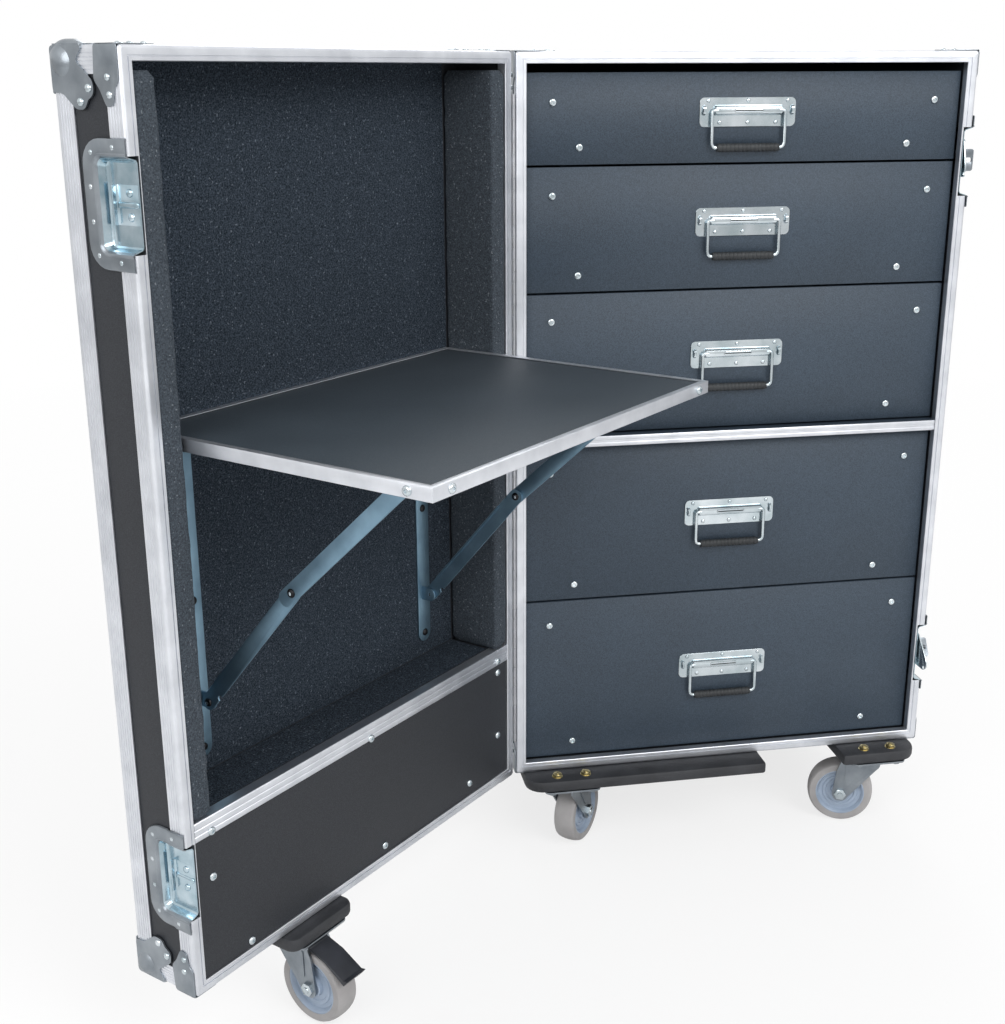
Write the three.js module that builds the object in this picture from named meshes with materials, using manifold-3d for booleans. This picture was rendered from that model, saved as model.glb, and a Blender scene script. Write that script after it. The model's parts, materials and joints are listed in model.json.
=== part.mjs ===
import * as THREE from 'three';
import * as BufferGeometryUtils from 'three/addons/utils/BufferGeometryUtils.js';
import Module from 'manifold-3d';

// Road case with drawers: all sizes in millimetres, x to the right along the drawer fronts,
// y into the case, z up. The case body's front lower left corner is the working origin.
// The lid is modelled closed in front of the case and swung open as the last step.

// Facet counts
const wireSides = 8;
const pinSides = 8;
const discSides = 12;
const wheelSides = 18;
const domeSides = 8;
const nutSides = 6;
const linkEndSegments = 4;
const cornerSegments = 3;

// Fits and clearances
const gap = 0.3;
const cutOverrun = 5;
const drawerClearance = 1.6;
const drawerBackRoom = 22;
const mergeTolerance = 0.001;

// Case body
const caseWidth = 634;
const caseHeight = 1020;
const caseDepth = 480;
const panelThickness = 9.5;
const dividerThickness = 15;
const floorClearance = 141;

// Aluminium edging
const lipWidth = 15;
const lipThickness = 2;
const sheetThickness = 1.5;
const frontFrameDepth = 22;
const innerLegDepth = 12;
const edgeAngleWidth = 26;
const edgeChamfer = 1.2;
const ballRadius = 21;
const ballStandOff = 6;
const ballEarLength = 46;

// Drawers, measured on the drawer fronts from the top of the case down
const frontSetBack = 15;
const frontThickness = 12;
const drawerGap = 3;
const drawerTopGap = 11;
const drawerShares = [0.1224, 0.1737, 0.2043, 0.2391, 0.2605];
const drawersAboveDivider = 3;
const drawerWall = 9;
const drawerFloorThickness = 6;
const drawerBoxLowering = 24;
const drawerBoxRaise = 10;
const railThickness = 9.7;
const railHeight = 26;
const railSetBack = 12;
const runnerThickness = 3;

// Sprung surface handle
const handlePlateWidth = 134;
const handlePlateHeight = 38;
const handleCornerRadius = 7;
const handleRaise = 7;
const bailPivotRaise = 3;
const ridgeEndInset = 4.5;
const bailEndInset = 15.5;
const bailWireRadius = 2.6;
const bailDrop = 50;
const bailLean = 3.6;
const gripRadius = 5.5;
const gripRibDepth = 0.8;
const gripEndInset = 8.5;
const gripRibCount = 4;

// Piano hinge
const hingeRadius = 1.9;
const hingeOffset = 2.2;
const hingeLeafWidth = 22;
const hingeLeafThickness = 1;
const hingeKnuckleCount = 11;
const hingeEndInset = 52;
const hingePinRadius = 0.9;

// Recessed twist latches on the right side wall
const latchFromEnd = 145;
const latchFlangeHeight = 120;
const latchFlangeWidth = 62;
const latchFlangeRadius = 22;
const latchCupHeight = 91;
const latchCupWidth = 46;
const latchCupDepth = 13;
const rotorRadius = 15;
const rotorHeight = 3;
const wingHeight = 30;
const wingLength = 28;
const wingThickness = 2.5;
const wingHingeOffset = 13;
const wingSlotLength = 17;
const wingSlotHeight = 7;
const wingSlotShare = 0.62;
const wingBarrelRadius = 3;
const wingCheekThickness = 3;
const wingTurns = { upper: 0, lower: -30 };
const hookRootLength = 6;
const hookHeight = 54;
const hookLengths = { upper: 4, lower: 28 };
const hookNoseShares = [0.1, 0.3, 0.4];
const hookTipShare = 0.8;
const keeperDepth = 6;
const keeperHeight = 34;
const keeperPadShare = 0.75;

// Lid
const lidDepth = 96;
const lidOpeningAngle = 134.6;
const lidFrontGap = 1;
const lidBackInset = 80;
const liningInset = 43;
const liningTopGap = 8;
const fasciaTop = 213;
const fasciaTrimHeight = 23;
const fasciaThickness = 9;
const fasciaFloorThickness = 12;

// Folding shelf and its two folding brackets
const shelfInset = 45;
const shelfProjectionLength = 314;
const shelfTop = 641;
const shelfThickness = 15;
const shelfLipWidth = 8;
const shelfLipThickness = 1.2;
const bracketInset = 102;
const bracketStripWidth = 26;
const bracketThickness = 2.5;
const linkWidth = 19;
const wallPivotStandOff = 15.5;
const cornerPivotDepth = 27.5;
const wallPivotDistance = 306.5;
const shelfPivotDistance = 296;
const lowerLinkLength = 217.8;
const upperLinkLength = 209;
const linkPinRadius = 4;
const stripOverhang = 16;
const wallStripTailLength = 73;
const linkLipWidth = 5;
const linkLipShares = [0.12, 0.86];

// Caster boards and casters
const boardThickness = 18;
const boardProjection = 34;
const boardSideInset = 11;
const boardRearInset = 50;
const boardCornerRadius = 28;
const boardNotchInset = 132;
const boardNotchWidth = 124;
const boardNotchDepth = 68;
const lidBoardProjection = 8;
const lidBoardClearance = 6;
const casterPlateLength = 100;
const casterPlateWidth = 84;
const casterPlateThickness = 3;
const raceRadius = 29;
const raceHeight = 9;
const wheelRadius = 50;
const wheelWidth = 32;
const wheelSideClearance = 1.2;
const wheelRimClearance = 1.8;
const wheelBoreRadius = 6.3;
const hubRadius = 14;
const webRadius = 36;
const webRecess = 7;
const treadShare = 0.4;
const shoulderShare = 0.92;
const axleRadius = 6;
const axleNutRadius = 9;
const axleNutHeight = 5;
const forkThickness = 3.5;
const forkTrailLength = 37;
const forkTopRadius = 26;
const forkLegWidth = 24;
const forkTopThickness = 4;
const forkShoulderDrop = 12;
const forkBackShares = [0.8, 0.55];
const forkBridgeShare = 0.75;
const forkFootShares = [0.5, 1.3];
const forkCheekReach = 4.8;
const forkCheekDrop = 10.8;
const caseCasterInset = 80;
const caseCasterFront = 14;
const caseCasterRear = 372;
const frontRightCasterInset = 72;
const lidCasterDepth = 32;
const casterTurns = [52, 158, 52, 158, -46];
const nutRadius = 6.5;
const nutHeight = 5;
const nutSpacing = 43;
const nutFront = 19;
const pedalThickness = 3;
const pedalClearance = 3;
const pedalStartAngle = 88;
const pedalBendAngle = 62;
const pedalEndAngle = 24;
const pedalFlare = 9;
const pedalLipLength = 7;
const pedalLipAngles = [4, 6];
const pedalPinRadius = 2.4;
const pedalPinDrop = 5.4;

const wasm = await Module();
wasm.setup();

// Solid helpers
function toSolid(geometry) {
  const bare = geometry.clone();
  bare.deleteAttribute('normal');
  bare.deleteAttribute('uv');
  const merged = BufferGeometryUtils.mergeVertices(bare, mergeTolerance);
  const mesh = new wasm.Mesh({
    numProp: 3,
    vertProperties: new Float32Array(merged.attributes.position.array),
    triVerts: new Uint32Array(merged.index.array),
  });
  return new wasm.Manifold(mesh);
}

function placed(geometry, matrix) {
  return toSolid(geometry.clone().applyMatrix4(matrix));
}

function turned(solid, matrix) {
  return solid.transform([...matrix.elements]);
}

function block(x0, x1, y0, y1, z0, z1) {
  const box = new THREE.BoxGeometry(x1 - x0, y1 - y0, z1 - z0);
  box.translate((x0 + x1) / 2, (y0 + y1) / 2, (z0 + z1) / 2);
  return toSolid(box);
}

function fuse(pieces) {
  return pieces.reduce((sum, piece) => sum.add(piece));
}

function cutAll(base, cutters) {
  return cutters.reduce((rest, cutter) => rest.subtract(cutter), base);
}

const axisTurns = {
  x: new THREE.Matrix4().makeRotationZ(-Math.PI / 2),
  y: new THREE.Matrix4(),
  z: new THREE.Matrix4().makeRotationX(Math.PI / 2),
};

// A round bar centred on a point, along one axis
function rod(axis, radius, length, centre, sides = pinSides) {
  const bar = new THREE.CylinderGeometry(radius, radius, length, sides);
  bar.applyMatrix4(axisTurns[axis]);
  bar.translate(centre[0], centre[1], centre[2]);
  return toSolid(bar);
}

function roundedOutline(width, height, radius) {
  const shape = new THREE.Shape();
  const x = width / 2;
  const y = height / 2;
  shape.moveTo(-x + radius, -y);
  shape.absarc(x - radius, -y + radius, radius, -Math.PI / 2, 0, false);
  shape.absarc(x - radius, y - radius, radius, 0, Math.PI / 2, false);
  shape.absarc(-x + radius, y - radius, radius, Math.PI / 2, Math.PI, false);
  shape.absarc(-x + radius, -y + radius, radius, Math.PI, Math.PI * 1.5, false);
  return shape;
}

function polygonOutline(points) {
  return new THREE.Shape(points.map(([x, y]) => new THREE.Vector2(x, y)));
}

function slab(shape, thickness, curveSegments = cornerSegments) {
  return new THREE.ExtrudeGeometry(shape, { depth: thickness, bevelEnabled: false, curveSegments });
}

// Matrices that stand an outline drawn in (u, v) with its thickness in w on a chosen plane
const standOnX = new THREE.Matrix4().set(0, 0, 1, 0, 1, 0, 0, 0, 0, 1, 0, 0, 0, 0, 0, 1);
const standOnY = new THREE.Matrix4().set(1, 0, 0, 0, 0, 0, -1, 0, 0, 1, 0, 0, 0, 0, 0, 1);

// A hollow rectangular ring in the x-z plane between two y values
function ring(x0, x1, z0, z1, width, y0, y1) {
  const outer = block(x0, x1, y0, y1, z0, z1);
  const inner = block(
    x0 + width, x1 - width, y0 - cutOverrun, y1 + cutOverrun, z0 + width, z1 - width);
  return outer.subtract(inner);
}

const parts = [];

function addPart(name, solid, colour, roughness, metalness) {
  const raw = solid.getMesh();
  const geometry = new THREE.BufferGeometry();
  geometry.setAttribute('position', new THREE.BufferAttribute(raw.vertProperties, 3));
  geometry.setIndex(new THREE.BufferAttribute(raw.triVerts, 1));
  geometry.computeVertexNormals();
  const material = new THREE.MeshStandardMaterial({ color: colour, roughness, metalness });
  const mesh = new THREE.Mesh(geometry, material);
  mesh.name = name;
  parts.push(mesh);
}

const finishes = {
  laminate: [0x2f3133, 0.6, 0],
  aluminium: [0xc9cdd0, 0.35, 0.9],
  zinc: [0xb9bdc0, 0.35, 0.9],
  hingeSteel: [0x8b867f, 0.45, 0.8],
  foam: [0x6d6f72, 0.95, 0],
  bracketSteel: [0x6f8291, 0.4, 0.8],
  rubber: [0x151515, 0.8, 0],
  tyre: [0x9b9da0, 0.7, 0],
  blackPlastic: [0x1c1d1f, 0.5, 0],
};

function addFinished(name, solid, finish) {
  addPart(name, solid, ...finishes[finish]);
}

// Derived sizes
const bailSpacing = handlePlateWidth - bailEndInset * 2;
const ridgeWidth = bailSpacing - ridgeEndInset * 2;
const gripLength = bailSpacing - gripEndInset * 2;
const skin = sheetThickness + gap;
const panelInner = skin + panelThickness;
const lowerLatchHeight = latchFromEnd;
const upperLatchHeight = caseHeight - latchFromEnd;
const latchHeights = { upper: upperLatchHeight, lower: lowerLatchHeight };
const legInner = lipWidth - sheetThickness;
const frontLeft = lipWidth + drawerClearance;
const frontRight = caseWidth - frontLeft;
const frontBack = frontSetBack + frontThickness;
const caseBackInner = caseDepth - skin - panelThickness;
const drawerBoxEnd = caseBackInner - drawerBackRoom;
const hingeAxis = new THREE.Vector3(-hingeOffset, -lidFrontGap / 2, 0);

// Drawer fronts, from the top down, leaving room for the fixed divider
const stackTop = caseHeight - lipWidth - drawerTopGap;
const stackBottom = lipWidth + drawerClearance;
const stackRoom = stackTop - stackBottom - dividerThickness - drawerGap * drawerShares.length;
const drawerSpans = [];
let dividerTop = 0;
let runningTop = stackTop;
drawerShares.forEach((share, index) => {
  if (index === drawersAboveDivider) {
    dividerTop = runningTop;
    runningTop -= dividerThickness + drawerGap;
  }
  const height = share * stackRoom;
  drawerSpans.push({ top: runningTop, bottom: runningTop - height });
  runningTop -= height + drawerGap;
});

// Case body panels
function runnerRails(innerFace, direction) {
  return drawerSpans.map((span) => {
    const middle = (span.top + span.bottom) / 2;
    const start = frontBack + railSetBack;
    const x0 = direction > 0 ? innerFace - gap : innerFace - railThickness;
    const x1 = direction > 0 ? innerFace + railThickness : innerFace + gap;
    return block(x0, x1, start, drawerBoxEnd,
      middle - railHeight / 2, middle + railHeight / 2);
  });
}

const panelFront = lipThickness + gap;
const panelBack = caseDepth - skin;
const leftPanel = block(skin, panelInner, panelFront, panelBack, skin, caseHeight - skin);
addFinished('case_left_side', fuse([leftPanel, ...runnerRails(panelInner, 1)]), 'laminate');

const rightInner = caseWidth - panelInner;
const rightPanel = block(
  rightInner, caseWidth - skin, panelFront, panelBack, skin, caseHeight - skin);
const cupPockets = Object.values(latchHeights).map((height) => block(
  caseWidth - latchCupDepth - gap, caseWidth + cutOverrun, -cutOverrun, latchCupWidth + gap,
  height - latchCupHeight / 2 - gap, height + latchCupHeight / 2 + gap));
addFinished('case_right_side',
  cutAll(fuse([rightPanel, ...runnerRails(rightInner, -1)]), cupPockets), 'laminate');

const innerLeft = panelInner + gap;
const innerRight = rightInner - gap;
addFinished('case_top', block(innerLeft, innerRight, panelFront, panelBack,
  caseHeight - skin - panelThickness, caseHeight - skin), 'laminate');
addFinished('case_bottom', block(innerLeft, innerRight, panelFront, panelBack,
  skin, panelInner), 'laminate');
addFinished('case_back', block(innerLeft, innerRight, caseBackInner, panelBack,
  panelInner + gap, caseHeight - panelInner - gap), 'laminate');

const dividerFront = panelFront + gap;
const dividerNose = block(lipWidth + gap, caseWidth - lipWidth - gap,
  dividerFront, frontSetBack, dividerTop - dividerThickness, dividerTop);
const dividerBoard = block(innerLeft, innerRight, innerLegDepth + gap, caseBackInner - gap,
  dividerTop - dividerThickness, dividerTop);
addFinished('case_divider', dividerNose.add(dividerBoard), 'laminate');

// Aluminium frame round one opening: outer skirt, front lip and inner leg, with the latch
// cut-outs on the side away from the hinge. `inward` is +1 when the frame runs into +y.
function openingFrame(frontY, inward) {
  const slice = (depth) => [frontY, frontY + inward * depth].sort((a, b) => a - b);
  const [skirtStart, skirtEnd] = slice(frontFrameDepth);
  const [lipStart, lipEnd] = slice(lipThickness);
  const [legStart, legEnd] = slice(innerLegDepth);
  const skirt = ring(0, caseWidth, 0, caseHeight, sheetThickness, skirtStart, skirtEnd);
  const lip = ring(0, caseWidth, 0, caseHeight, lipWidth, lipStart, lipEnd);
  const leg = ring(legInner, caseWidth - legInner, legInner, caseHeight - legInner,
    sheetThickness, legStart, legEnd);
  const cuts = Object.values(latchHeights).map((height) => block(
    caseWidth - legInner + gap, caseWidth + cutOverrun,
    skirtStart - cutOverrun, skirtEnd + cutOverrun,
    height - latchCupHeight / 2 - gap, height + latchCupHeight / 2 + gap));
  const chamfers = [];
  for (const [x, z] of [[0, 0], [caseWidth, 0], [0, caseHeight], [caseWidth, caseHeight]]) {
    const turn = new THREE.Matrix4().makeRotationY(Math.PI / 4);
    turn.setPosition(x, (skirtStart + skirtEnd) / 2, z);
    const side = edgeChamfer * Math.SQRT2;
    chamfers.push(placed(new THREE.BoxGeometry(side, caseDepth, side), turn));
  }
  return cutAll(fuse([skirt, lip, leg]), [...cuts, ...chamfers]);
}

addFinished('case_front_frame', openingFrame(0, 1), 'aluminium');

// Rear edging of a box: angle round the back face, the four long edges and the ball corners
function rearEdging(backY, inward, frontEnd) {
  const outline = [backY, backY + inward * edgeAngleWidth].sort((a, b) => a - b);
  const backFace = [backY, backY + inward * sheetThickness].sort((a, b) => a - b);
  const pieces = [
    ring(0, caseWidth, 0, caseHeight, sheetThickness, ...outline),
    ring(0, caseWidth, 0, caseHeight, edgeAngleWidth, ...backFace),
  ];
  const run = [backY, frontEnd].sort((a, b) => a - b);
  const tube = ring(0, caseWidth, 0, caseHeight, sheetThickness, ...run);
  const corners = [];
  for (const x of [0, caseWidth - edgeAngleWidth]) {
    for (const z of [0, caseHeight - edgeAngleWidth]) {
      corners.push(block(x, x + edgeAngleWidth, run[0] - cutOverrun, run[1] + cutOverrun,
        z, z + edgeAngleWidth));
    }
  }
  pieces.push(tube.intersect(fuse(corners)));
  for (const x of [0, caseWidth]) {
    for (const z of [0, caseHeight]) {
      pieces.push(ballCorner(x, backY, z, x === 0 ? 1 : -1, inward, z === 0 ? 1 : -1));
    }
  }
  const keepOut = block(skin - gap, caseWidth - skin + gap,
    Math.min(backY + inward * (skin - gap), frontEnd), Math.max(backY + inward * (skin - gap), frontEnd),
    skin - gap, caseHeight - skin + gap);
  return fuse(pieces).subtract(keepOut);
}

// A pressed steel corner: a dome with three riveted ears lying on the edge angles
function ballCorner(x, y, z, inX, inY, inZ) {
  const dome = new THREE.SphereGeometry(ballRadius, domeSides, domeSides / 2);
  const shift = ballRadius - ballStandOff;
  dome.translate(x + inX * shift, y + inY * shift, z + inZ * shift);
  const pieces = [toSolid(dome)];
  const earWidth = edgeAngleWidth;
  const across = [0, earWidth];
  const along = [0, ballEarLength];
  const thin = [-sheetThickness, sheetThickness];
  const ears = [[thin, across, along], [along, thin, across], [across, along, thin]];
  const signed = (origin, sign, span) => span.map((value) => origin + sign * value)
    .sort((a, b) => a - b);
  for (const [spanX, spanY, spanZ] of ears) {
    pieces.push(block(...signed(x, inX, spanX), ...signed(y, inY, spanY), ...signed(z, inZ, spanZ)));
  }
  return fuse(pieces);
}

addFinished('case_rear_frame',
  rearEdging(caseDepth, -1, frontFrameDepth + gap), 'aluminium');

// Piano hinge down the left edge; the pin belongs to the case leaf
const hingeLength = caseHeight - hingeEndInset * 2;
function hingeLeaf(isCaseLeaf) {
  const leafX = [-gap - hingeLeafThickness, -gap];
  const leafStart = -lidFrontGap / 2 + hingeRadius + gap;
  const leafY = isCaseLeaf
    ? [leafStart, leafStart + hingeLeafWidth]
    : [-lidFrontGap - leafStart - hingeLeafWidth, -lidFrontGap - leafStart];
  let leaf = block(...leafX, ...leafY, hingeEndInset, caseHeight - hingeEndInset);
  const pitch = hingeLength / hingeKnuckleCount;
  for (let index = 0; index < hingeKnuckleCount; index += 1) {
    const centreZ = hingeEndInset + (index + 0.5) * pitch;
    const mine = (index % 2 === 0) === isCaseLeaf;
    if (mine) {
      const barrel = rod('z', hingeRadius, pitch - gap, [hingeAxis.x, hingeAxis.y, centreZ], wireSides);
      const tie = block(hingeAxis.x - gap, leafX[1],
        Math.min(hingeAxis.y, leafY[0] + gap), Math.max(hingeAxis.y, leafY[1] - hingeLeafWidth + gap),
        centreZ - (pitch - gap) / 2, centreZ + (pitch - gap) / 2);
      leaf = leaf.add(barrel).add(tie);
    }
  }
  return leaf;
}

const pinCentre = [hingeAxis.x, hingeAxis.y, caseHeight / 2];
const hingePin = rod('z', hingePinRadius, hingeLength, pinCentre, wireSides);
const pinBore = rod('z', hingePinRadius + gap, caseHeight, pinCentre, wireSides);
addFinished('hinge_case_leaf', hingeLeaf(true).add(hingePin), 'hingeSteel');

// Latch dishes. The case half carries the rotor, the lid half carries the keeper.
// `into` is +1 for the case half (cup runs into +y) and -1 for the lid half.
function latchDish(height, frontY, into) {
  const sorted = (a, b) => [Math.min(a, b), Math.max(a, b)];
  const flangeY = sorted(frontY, frontY + into * latchFlangeWidth);
  const flangeShape = slab(
    roundedOutline(latchFlangeWidth * 2, latchFlangeHeight, latchFlangeRadius), sheetThickness);
  flangeShape.applyMatrix4(standOnX);
  flangeShape.translate(caseWidth + gap, frontY, height);
  const flange = toSolid(flangeShape).intersect(block(caseWidth, caseWidth + cutOverrun,
    ...flangeY, height - latchFlangeHeight, height + latchFlangeHeight));
  const cupY = sorted(frontY, frontY + into * latchCupWidth);
  const cupZ = [height - latchCupHeight / 2, height + latchCupHeight / 2];
  const cup = block(caseWidth - latchCupDepth, caseWidth + gap + sheetThickness, ...cupY, ...cupZ);
  const openY = sorted(frontY - into * cutOverrun, frontY + into * (latchCupWidth - sheetThickness));
  const hollow = block(caseWidth - latchCupDepth + sheetThickness, caseWidth + cutOverrun,
    ...openY, cupZ[0] + sheetThickness, cupZ[1] - sheetThickness);
  return flange.add(cup).subtract(hollow);
}

// The flat hook of a case half stands out of the cup by its length, with a slanted upper edge
function latchHook(height, length) {
  const [noseTop, noseBottom, toe] = hookNoseShares.map((share) => height - hookHeight * share);
  const outline = polygonOutline([
    [hookRootLength, toe], [hookRootLength, height + hookHeight / 2],
    [0, height + hookHeight / 2], [-length, noseTop], [-length, noseBottom],
    [-length * hookTipShare, toe],
  ]);
  const geometry = slab(outline, sheetThickness + gap);
  geometry.applyMatrix4(standOnX);
  geometry.translate(cupFloor - gap, 0, 0);
  return toSolid(geometry);
}

const rotorCentreY = (latchCupWidth - sheetThickness) / 2;
const cupFloor = caseWidth - latchCupDepth + sheetThickness;
const rotorBase = cupFloor + gap;
const rotorTop = rotorBase + rotorHeight;
for (const [label, height] of Object.entries(latchHeights)) {
  const hook = latchHook(height, hookLengths[label]);
  addFinished(`latch_dish_${label}`, latchDish(height, 0, 1).add(hook), 'zinc');

  const turn = new THREE.Matrix4().makeTranslation(0, rotorCentreY, height)
    .multiply(new THREE.Matrix4().makeRotationX(THREE.MathUtils.degToRad(wingTurns[label])))
    .multiply(new THREE.Matrix4().makeTranslation(0, -rotorCentreY, -height));
  const discCentre = [(rotorBase + rotorTop) / 2, rotorCentreY, height];
  const disc = rod('x', rotorRadius, rotorHeight, discCentre, discSides);
  const barrelX = rotorTop + wingBarrelRadius + gap;
  const barrelY = rotorCentreY + wingHingeOffset;
  const cheekHeights = [-1, 1].map((side) => height + side * wingHeight / 4);
  const pinPoint = [barrelX, barrelY, height];
  const pin = rod('z', wingBarrelRadius / 2, wingHeight - gap, pinPoint, wireSides);
  const cheeks = cheekHeights.map((cheekZ) => rod('z', wingBarrelRadius, wingCheekThickness,
    [barrelX, barrelY, cheekZ]).add(block(rotorTop - gap, barrelX,
    barrelY - wingBarrelRadius, barrelY + wingBarrelRadius,
    cheekZ - wingCheekThickness / 2, cheekZ + wingCheekThickness / 2)));
  addFinished(`latch_rotor_${label}`, turned(fuse([disc, pin, ...cheeks]), turn), 'zinc');

  const sheet = block(barrelX, barrelX + wingLength, barrelY - wingThickness / 2,
    barrelY + wingThickness / 2, height - wingHeight / 2, height + wingHeight / 2);
  const barrel = rod('z', wingBarrelRadius, wingHeight, pinPoint);
  const bore = rod('z', wingBarrelRadius / 2 + gap, wingHeight + cutOverrun, pinPoint, wireSides);
  const slotX = barrelX + wingLength * wingSlotShare;
  const slot = block(slotX - wingSlotLength / 2, slotX + wingSlotLength / 2,
    barrelY - cutOverrun, barrelY + cutOverrun,
    height - wingSlotHeight / 2, height + wingSlotHeight / 2);
  const notches = cheekHeights.map((cheekZ) => block(
    barrelX - cutOverrun, barrelX + wingBarrelRadius + gap,
    barrelY - cutOverrun, barrelY + cutOverrun,
    cheekZ - wingCheekThickness / 2 - gap, cheekZ + wingCheekThickness / 2 + gap));
  const wing = cutAll(sheet.add(barrel), [bore, slot, ...notches]);
  addFinished(`latch_wing_${label}`, turned(wing, turn), 'zinc');
}

// Caster board under the case, with the four caster top plates bolted to it
function casterMount(x, y, boardUnderside) {
  const plateBottom = boardUnderside - casterPlateThickness;
  const outline = slab(roundedOutline(casterPlateWidth, casterPlateLength, handleCornerRadius),
    casterPlateThickness + gap);
  const plate = placed(outline, new THREE.Matrix4().makeTranslation(x, y, plateBottom));
  const race = rod('z', raceRadius, raceHeight + gap,
    [x, y, plateBottom - (raceHeight - gap) / 2], discSides);
  return [plate, race];
}

function hexNut(x, y, z) {
  return rod('z', nutRadius, nutHeight + gap, [x, y, z + (nutHeight - gap) / 2], nutSides);
}

const boardTop = -gap;
const boardBottom = boardTop - boardThickness;
const caseBoardLength = caseDepth - boardRearInset + boardProjection;
const caseBoardShape = slab(roundedOutline(caseWidth - boardSideInset * 2,
  caseBoardLength, boardCornerRadius), boardThickness);
const caseBoardMiddle = caseBoardLength / 2 - boardProjection;
const caseBoard = placed(caseBoardShape,
  new THREE.Matrix4().makeTranslation(caseWidth / 2, caseBoardMiddle, boardBottom));
const boardNotchEnd = caseWidth - boardNotchInset;
const boardNotchStart = boardNotchEnd - boardNotchWidth;
const boardNotch = block(boardNotchStart, boardNotchEnd, -boardProjection - cutOverrun,
  boardNotchDepth - boardProjection, boardBottom - cutOverrun, boardTop + cutOverrun);
const caseCasters = [
  [caseCasterInset, caseCasterFront],
  [caseWidth - frontRightCasterInset, caseCasterFront],
  [caseCasterInset, caseCasterRear],
  [caseWidth - frontRightCasterInset, caseCasterRear],
];
const caseMounts = caseCasters.flatMap(([x, y]) => casterMount(x, y, boardBottom));
const frontNuts = caseCasters.slice(0, 2).flatMap(([x]) => [-1, 1].map(
  (side) => hexNut(x + side * nutSpacing / 2, -nutFront, boardTop)));
addFinished('case_caster_board',
  fuse([caseBoard.subtract(boardNotch), ...caseMounts, ...frontNuts]), 'blackPlastic');

// Drawers with their sprung handles
function bailHandle(centreX, faceY, centreZ) {
  const wireY = faceY - gap - sheetThickness - gap - bailWireRadius;
  const plateShape = slab(roundedOutline(handlePlateWidth, handlePlateHeight, handleCornerRadius),
    sheetThickness);
  plateShape.applyMatrix4(standOnY);
  plateShape.translate(centreX, faceY - gap, centreZ);
  const ridgeOuter = bailWireRadius + gap + sheetThickness;
  const ridgeInner = bailWireRadius + gap;
  const backY = faceY - gap;
  const pivotZ = centreZ + bailPivotRaise;
  const ridge = rod('x', ridgeOuter, ridgeWidth, [centreX, wireY, pivotZ])
    .add(block(centreX - ridgeWidth / 2, centreX + ridgeWidth / 2, wireY, backY,
      pivotZ - ridgeOuter, pivotZ + ridgeOuter));
  const channel = rod('x', ridgeInner, ridgeWidth * 2, [centreX, wireY, pivotZ])
    .add(block(centreX - ridgeWidth, centreX + ridgeWidth, wireY, backY + cutOverrun,
      pivotZ - ridgeInner, pivotZ + ridgeInner));
  const behind = block(centreX - handlePlateWidth, centreX + handlePlateWidth, backY,
    backY + handlePlateWidth, centreZ - handlePlateHeight, centreZ + handlePlateHeight);
  const openSlot = channel.intersect(block(centreX - bailSpacing / 2 - ridgeInner - gap,
    centreX + bailSpacing / 2 + ridgeInner + gap, wireY - cutOverrun, backY + cutOverrun,
    centreZ - handlePlateHeight, centreZ + handlePlateHeight));
  const body = toSolid(plateShape).add(ridge).subtract(openSlot);
  return body.subtract(behind);
}

// The wire bail with its ribbed grip; wire and grip lie in one leaning plane
function bailAt(centreX, wireY, centreZ) {
  const half = bailSpacing / 2;
  const gripY = wireY - bailLean;
  const gripZ = centreZ - bailDrop;
  const armLength = Math.hypot(bailLean, bailDrop) + bailWireRadius * 2;
  const pieces = [rod('x', bailWireRadius, bailSpacing, [centreX, wireY, centreZ], wireSides)];
  for (const side of [-1, 1]) {
    const arm = new THREE.CylinderGeometry(bailWireRadius, bailWireRadius, armLength, wireSides);
    arm.applyMatrix4(axisTurns.z);
    arm.rotateX(-Math.atan2(bailLean, bailDrop));
    arm.translate(centreX + side * half, (wireY + gripY) / 2, (centreZ + gripZ) / 2);
    pieces.push(toSolid(arm));
  }
  const gripEnd = gripLength / 2;
  const step = gripLength / (gripRibCount * 2);
  const profile = [[0, -half], [bailWireRadius, -half], [bailWireRadius, -gripEnd]];
  for (let index = 0; index <= gripRibCount * 2; index += 1) {
    const radius = gripRadius - (index % 2 === 0 ? gripRibDepth : 0);
    profile.push([radius, -gripEnd + index * step]);
  }
  profile.push([bailWireRadius, gripEnd], [bailWireRadius, half], [0, half]);
  const grip = new THREE.LatheGeometry(
    profile.map(([radius, along]) => new THREE.Vector2(radius, along)), pinSides);
  grip.rotateZ(Math.PI / 2);
  grip.translate(centreX, gripY, gripZ);
  return fuse([...pieces, toSolid(grip)]);
}

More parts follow.
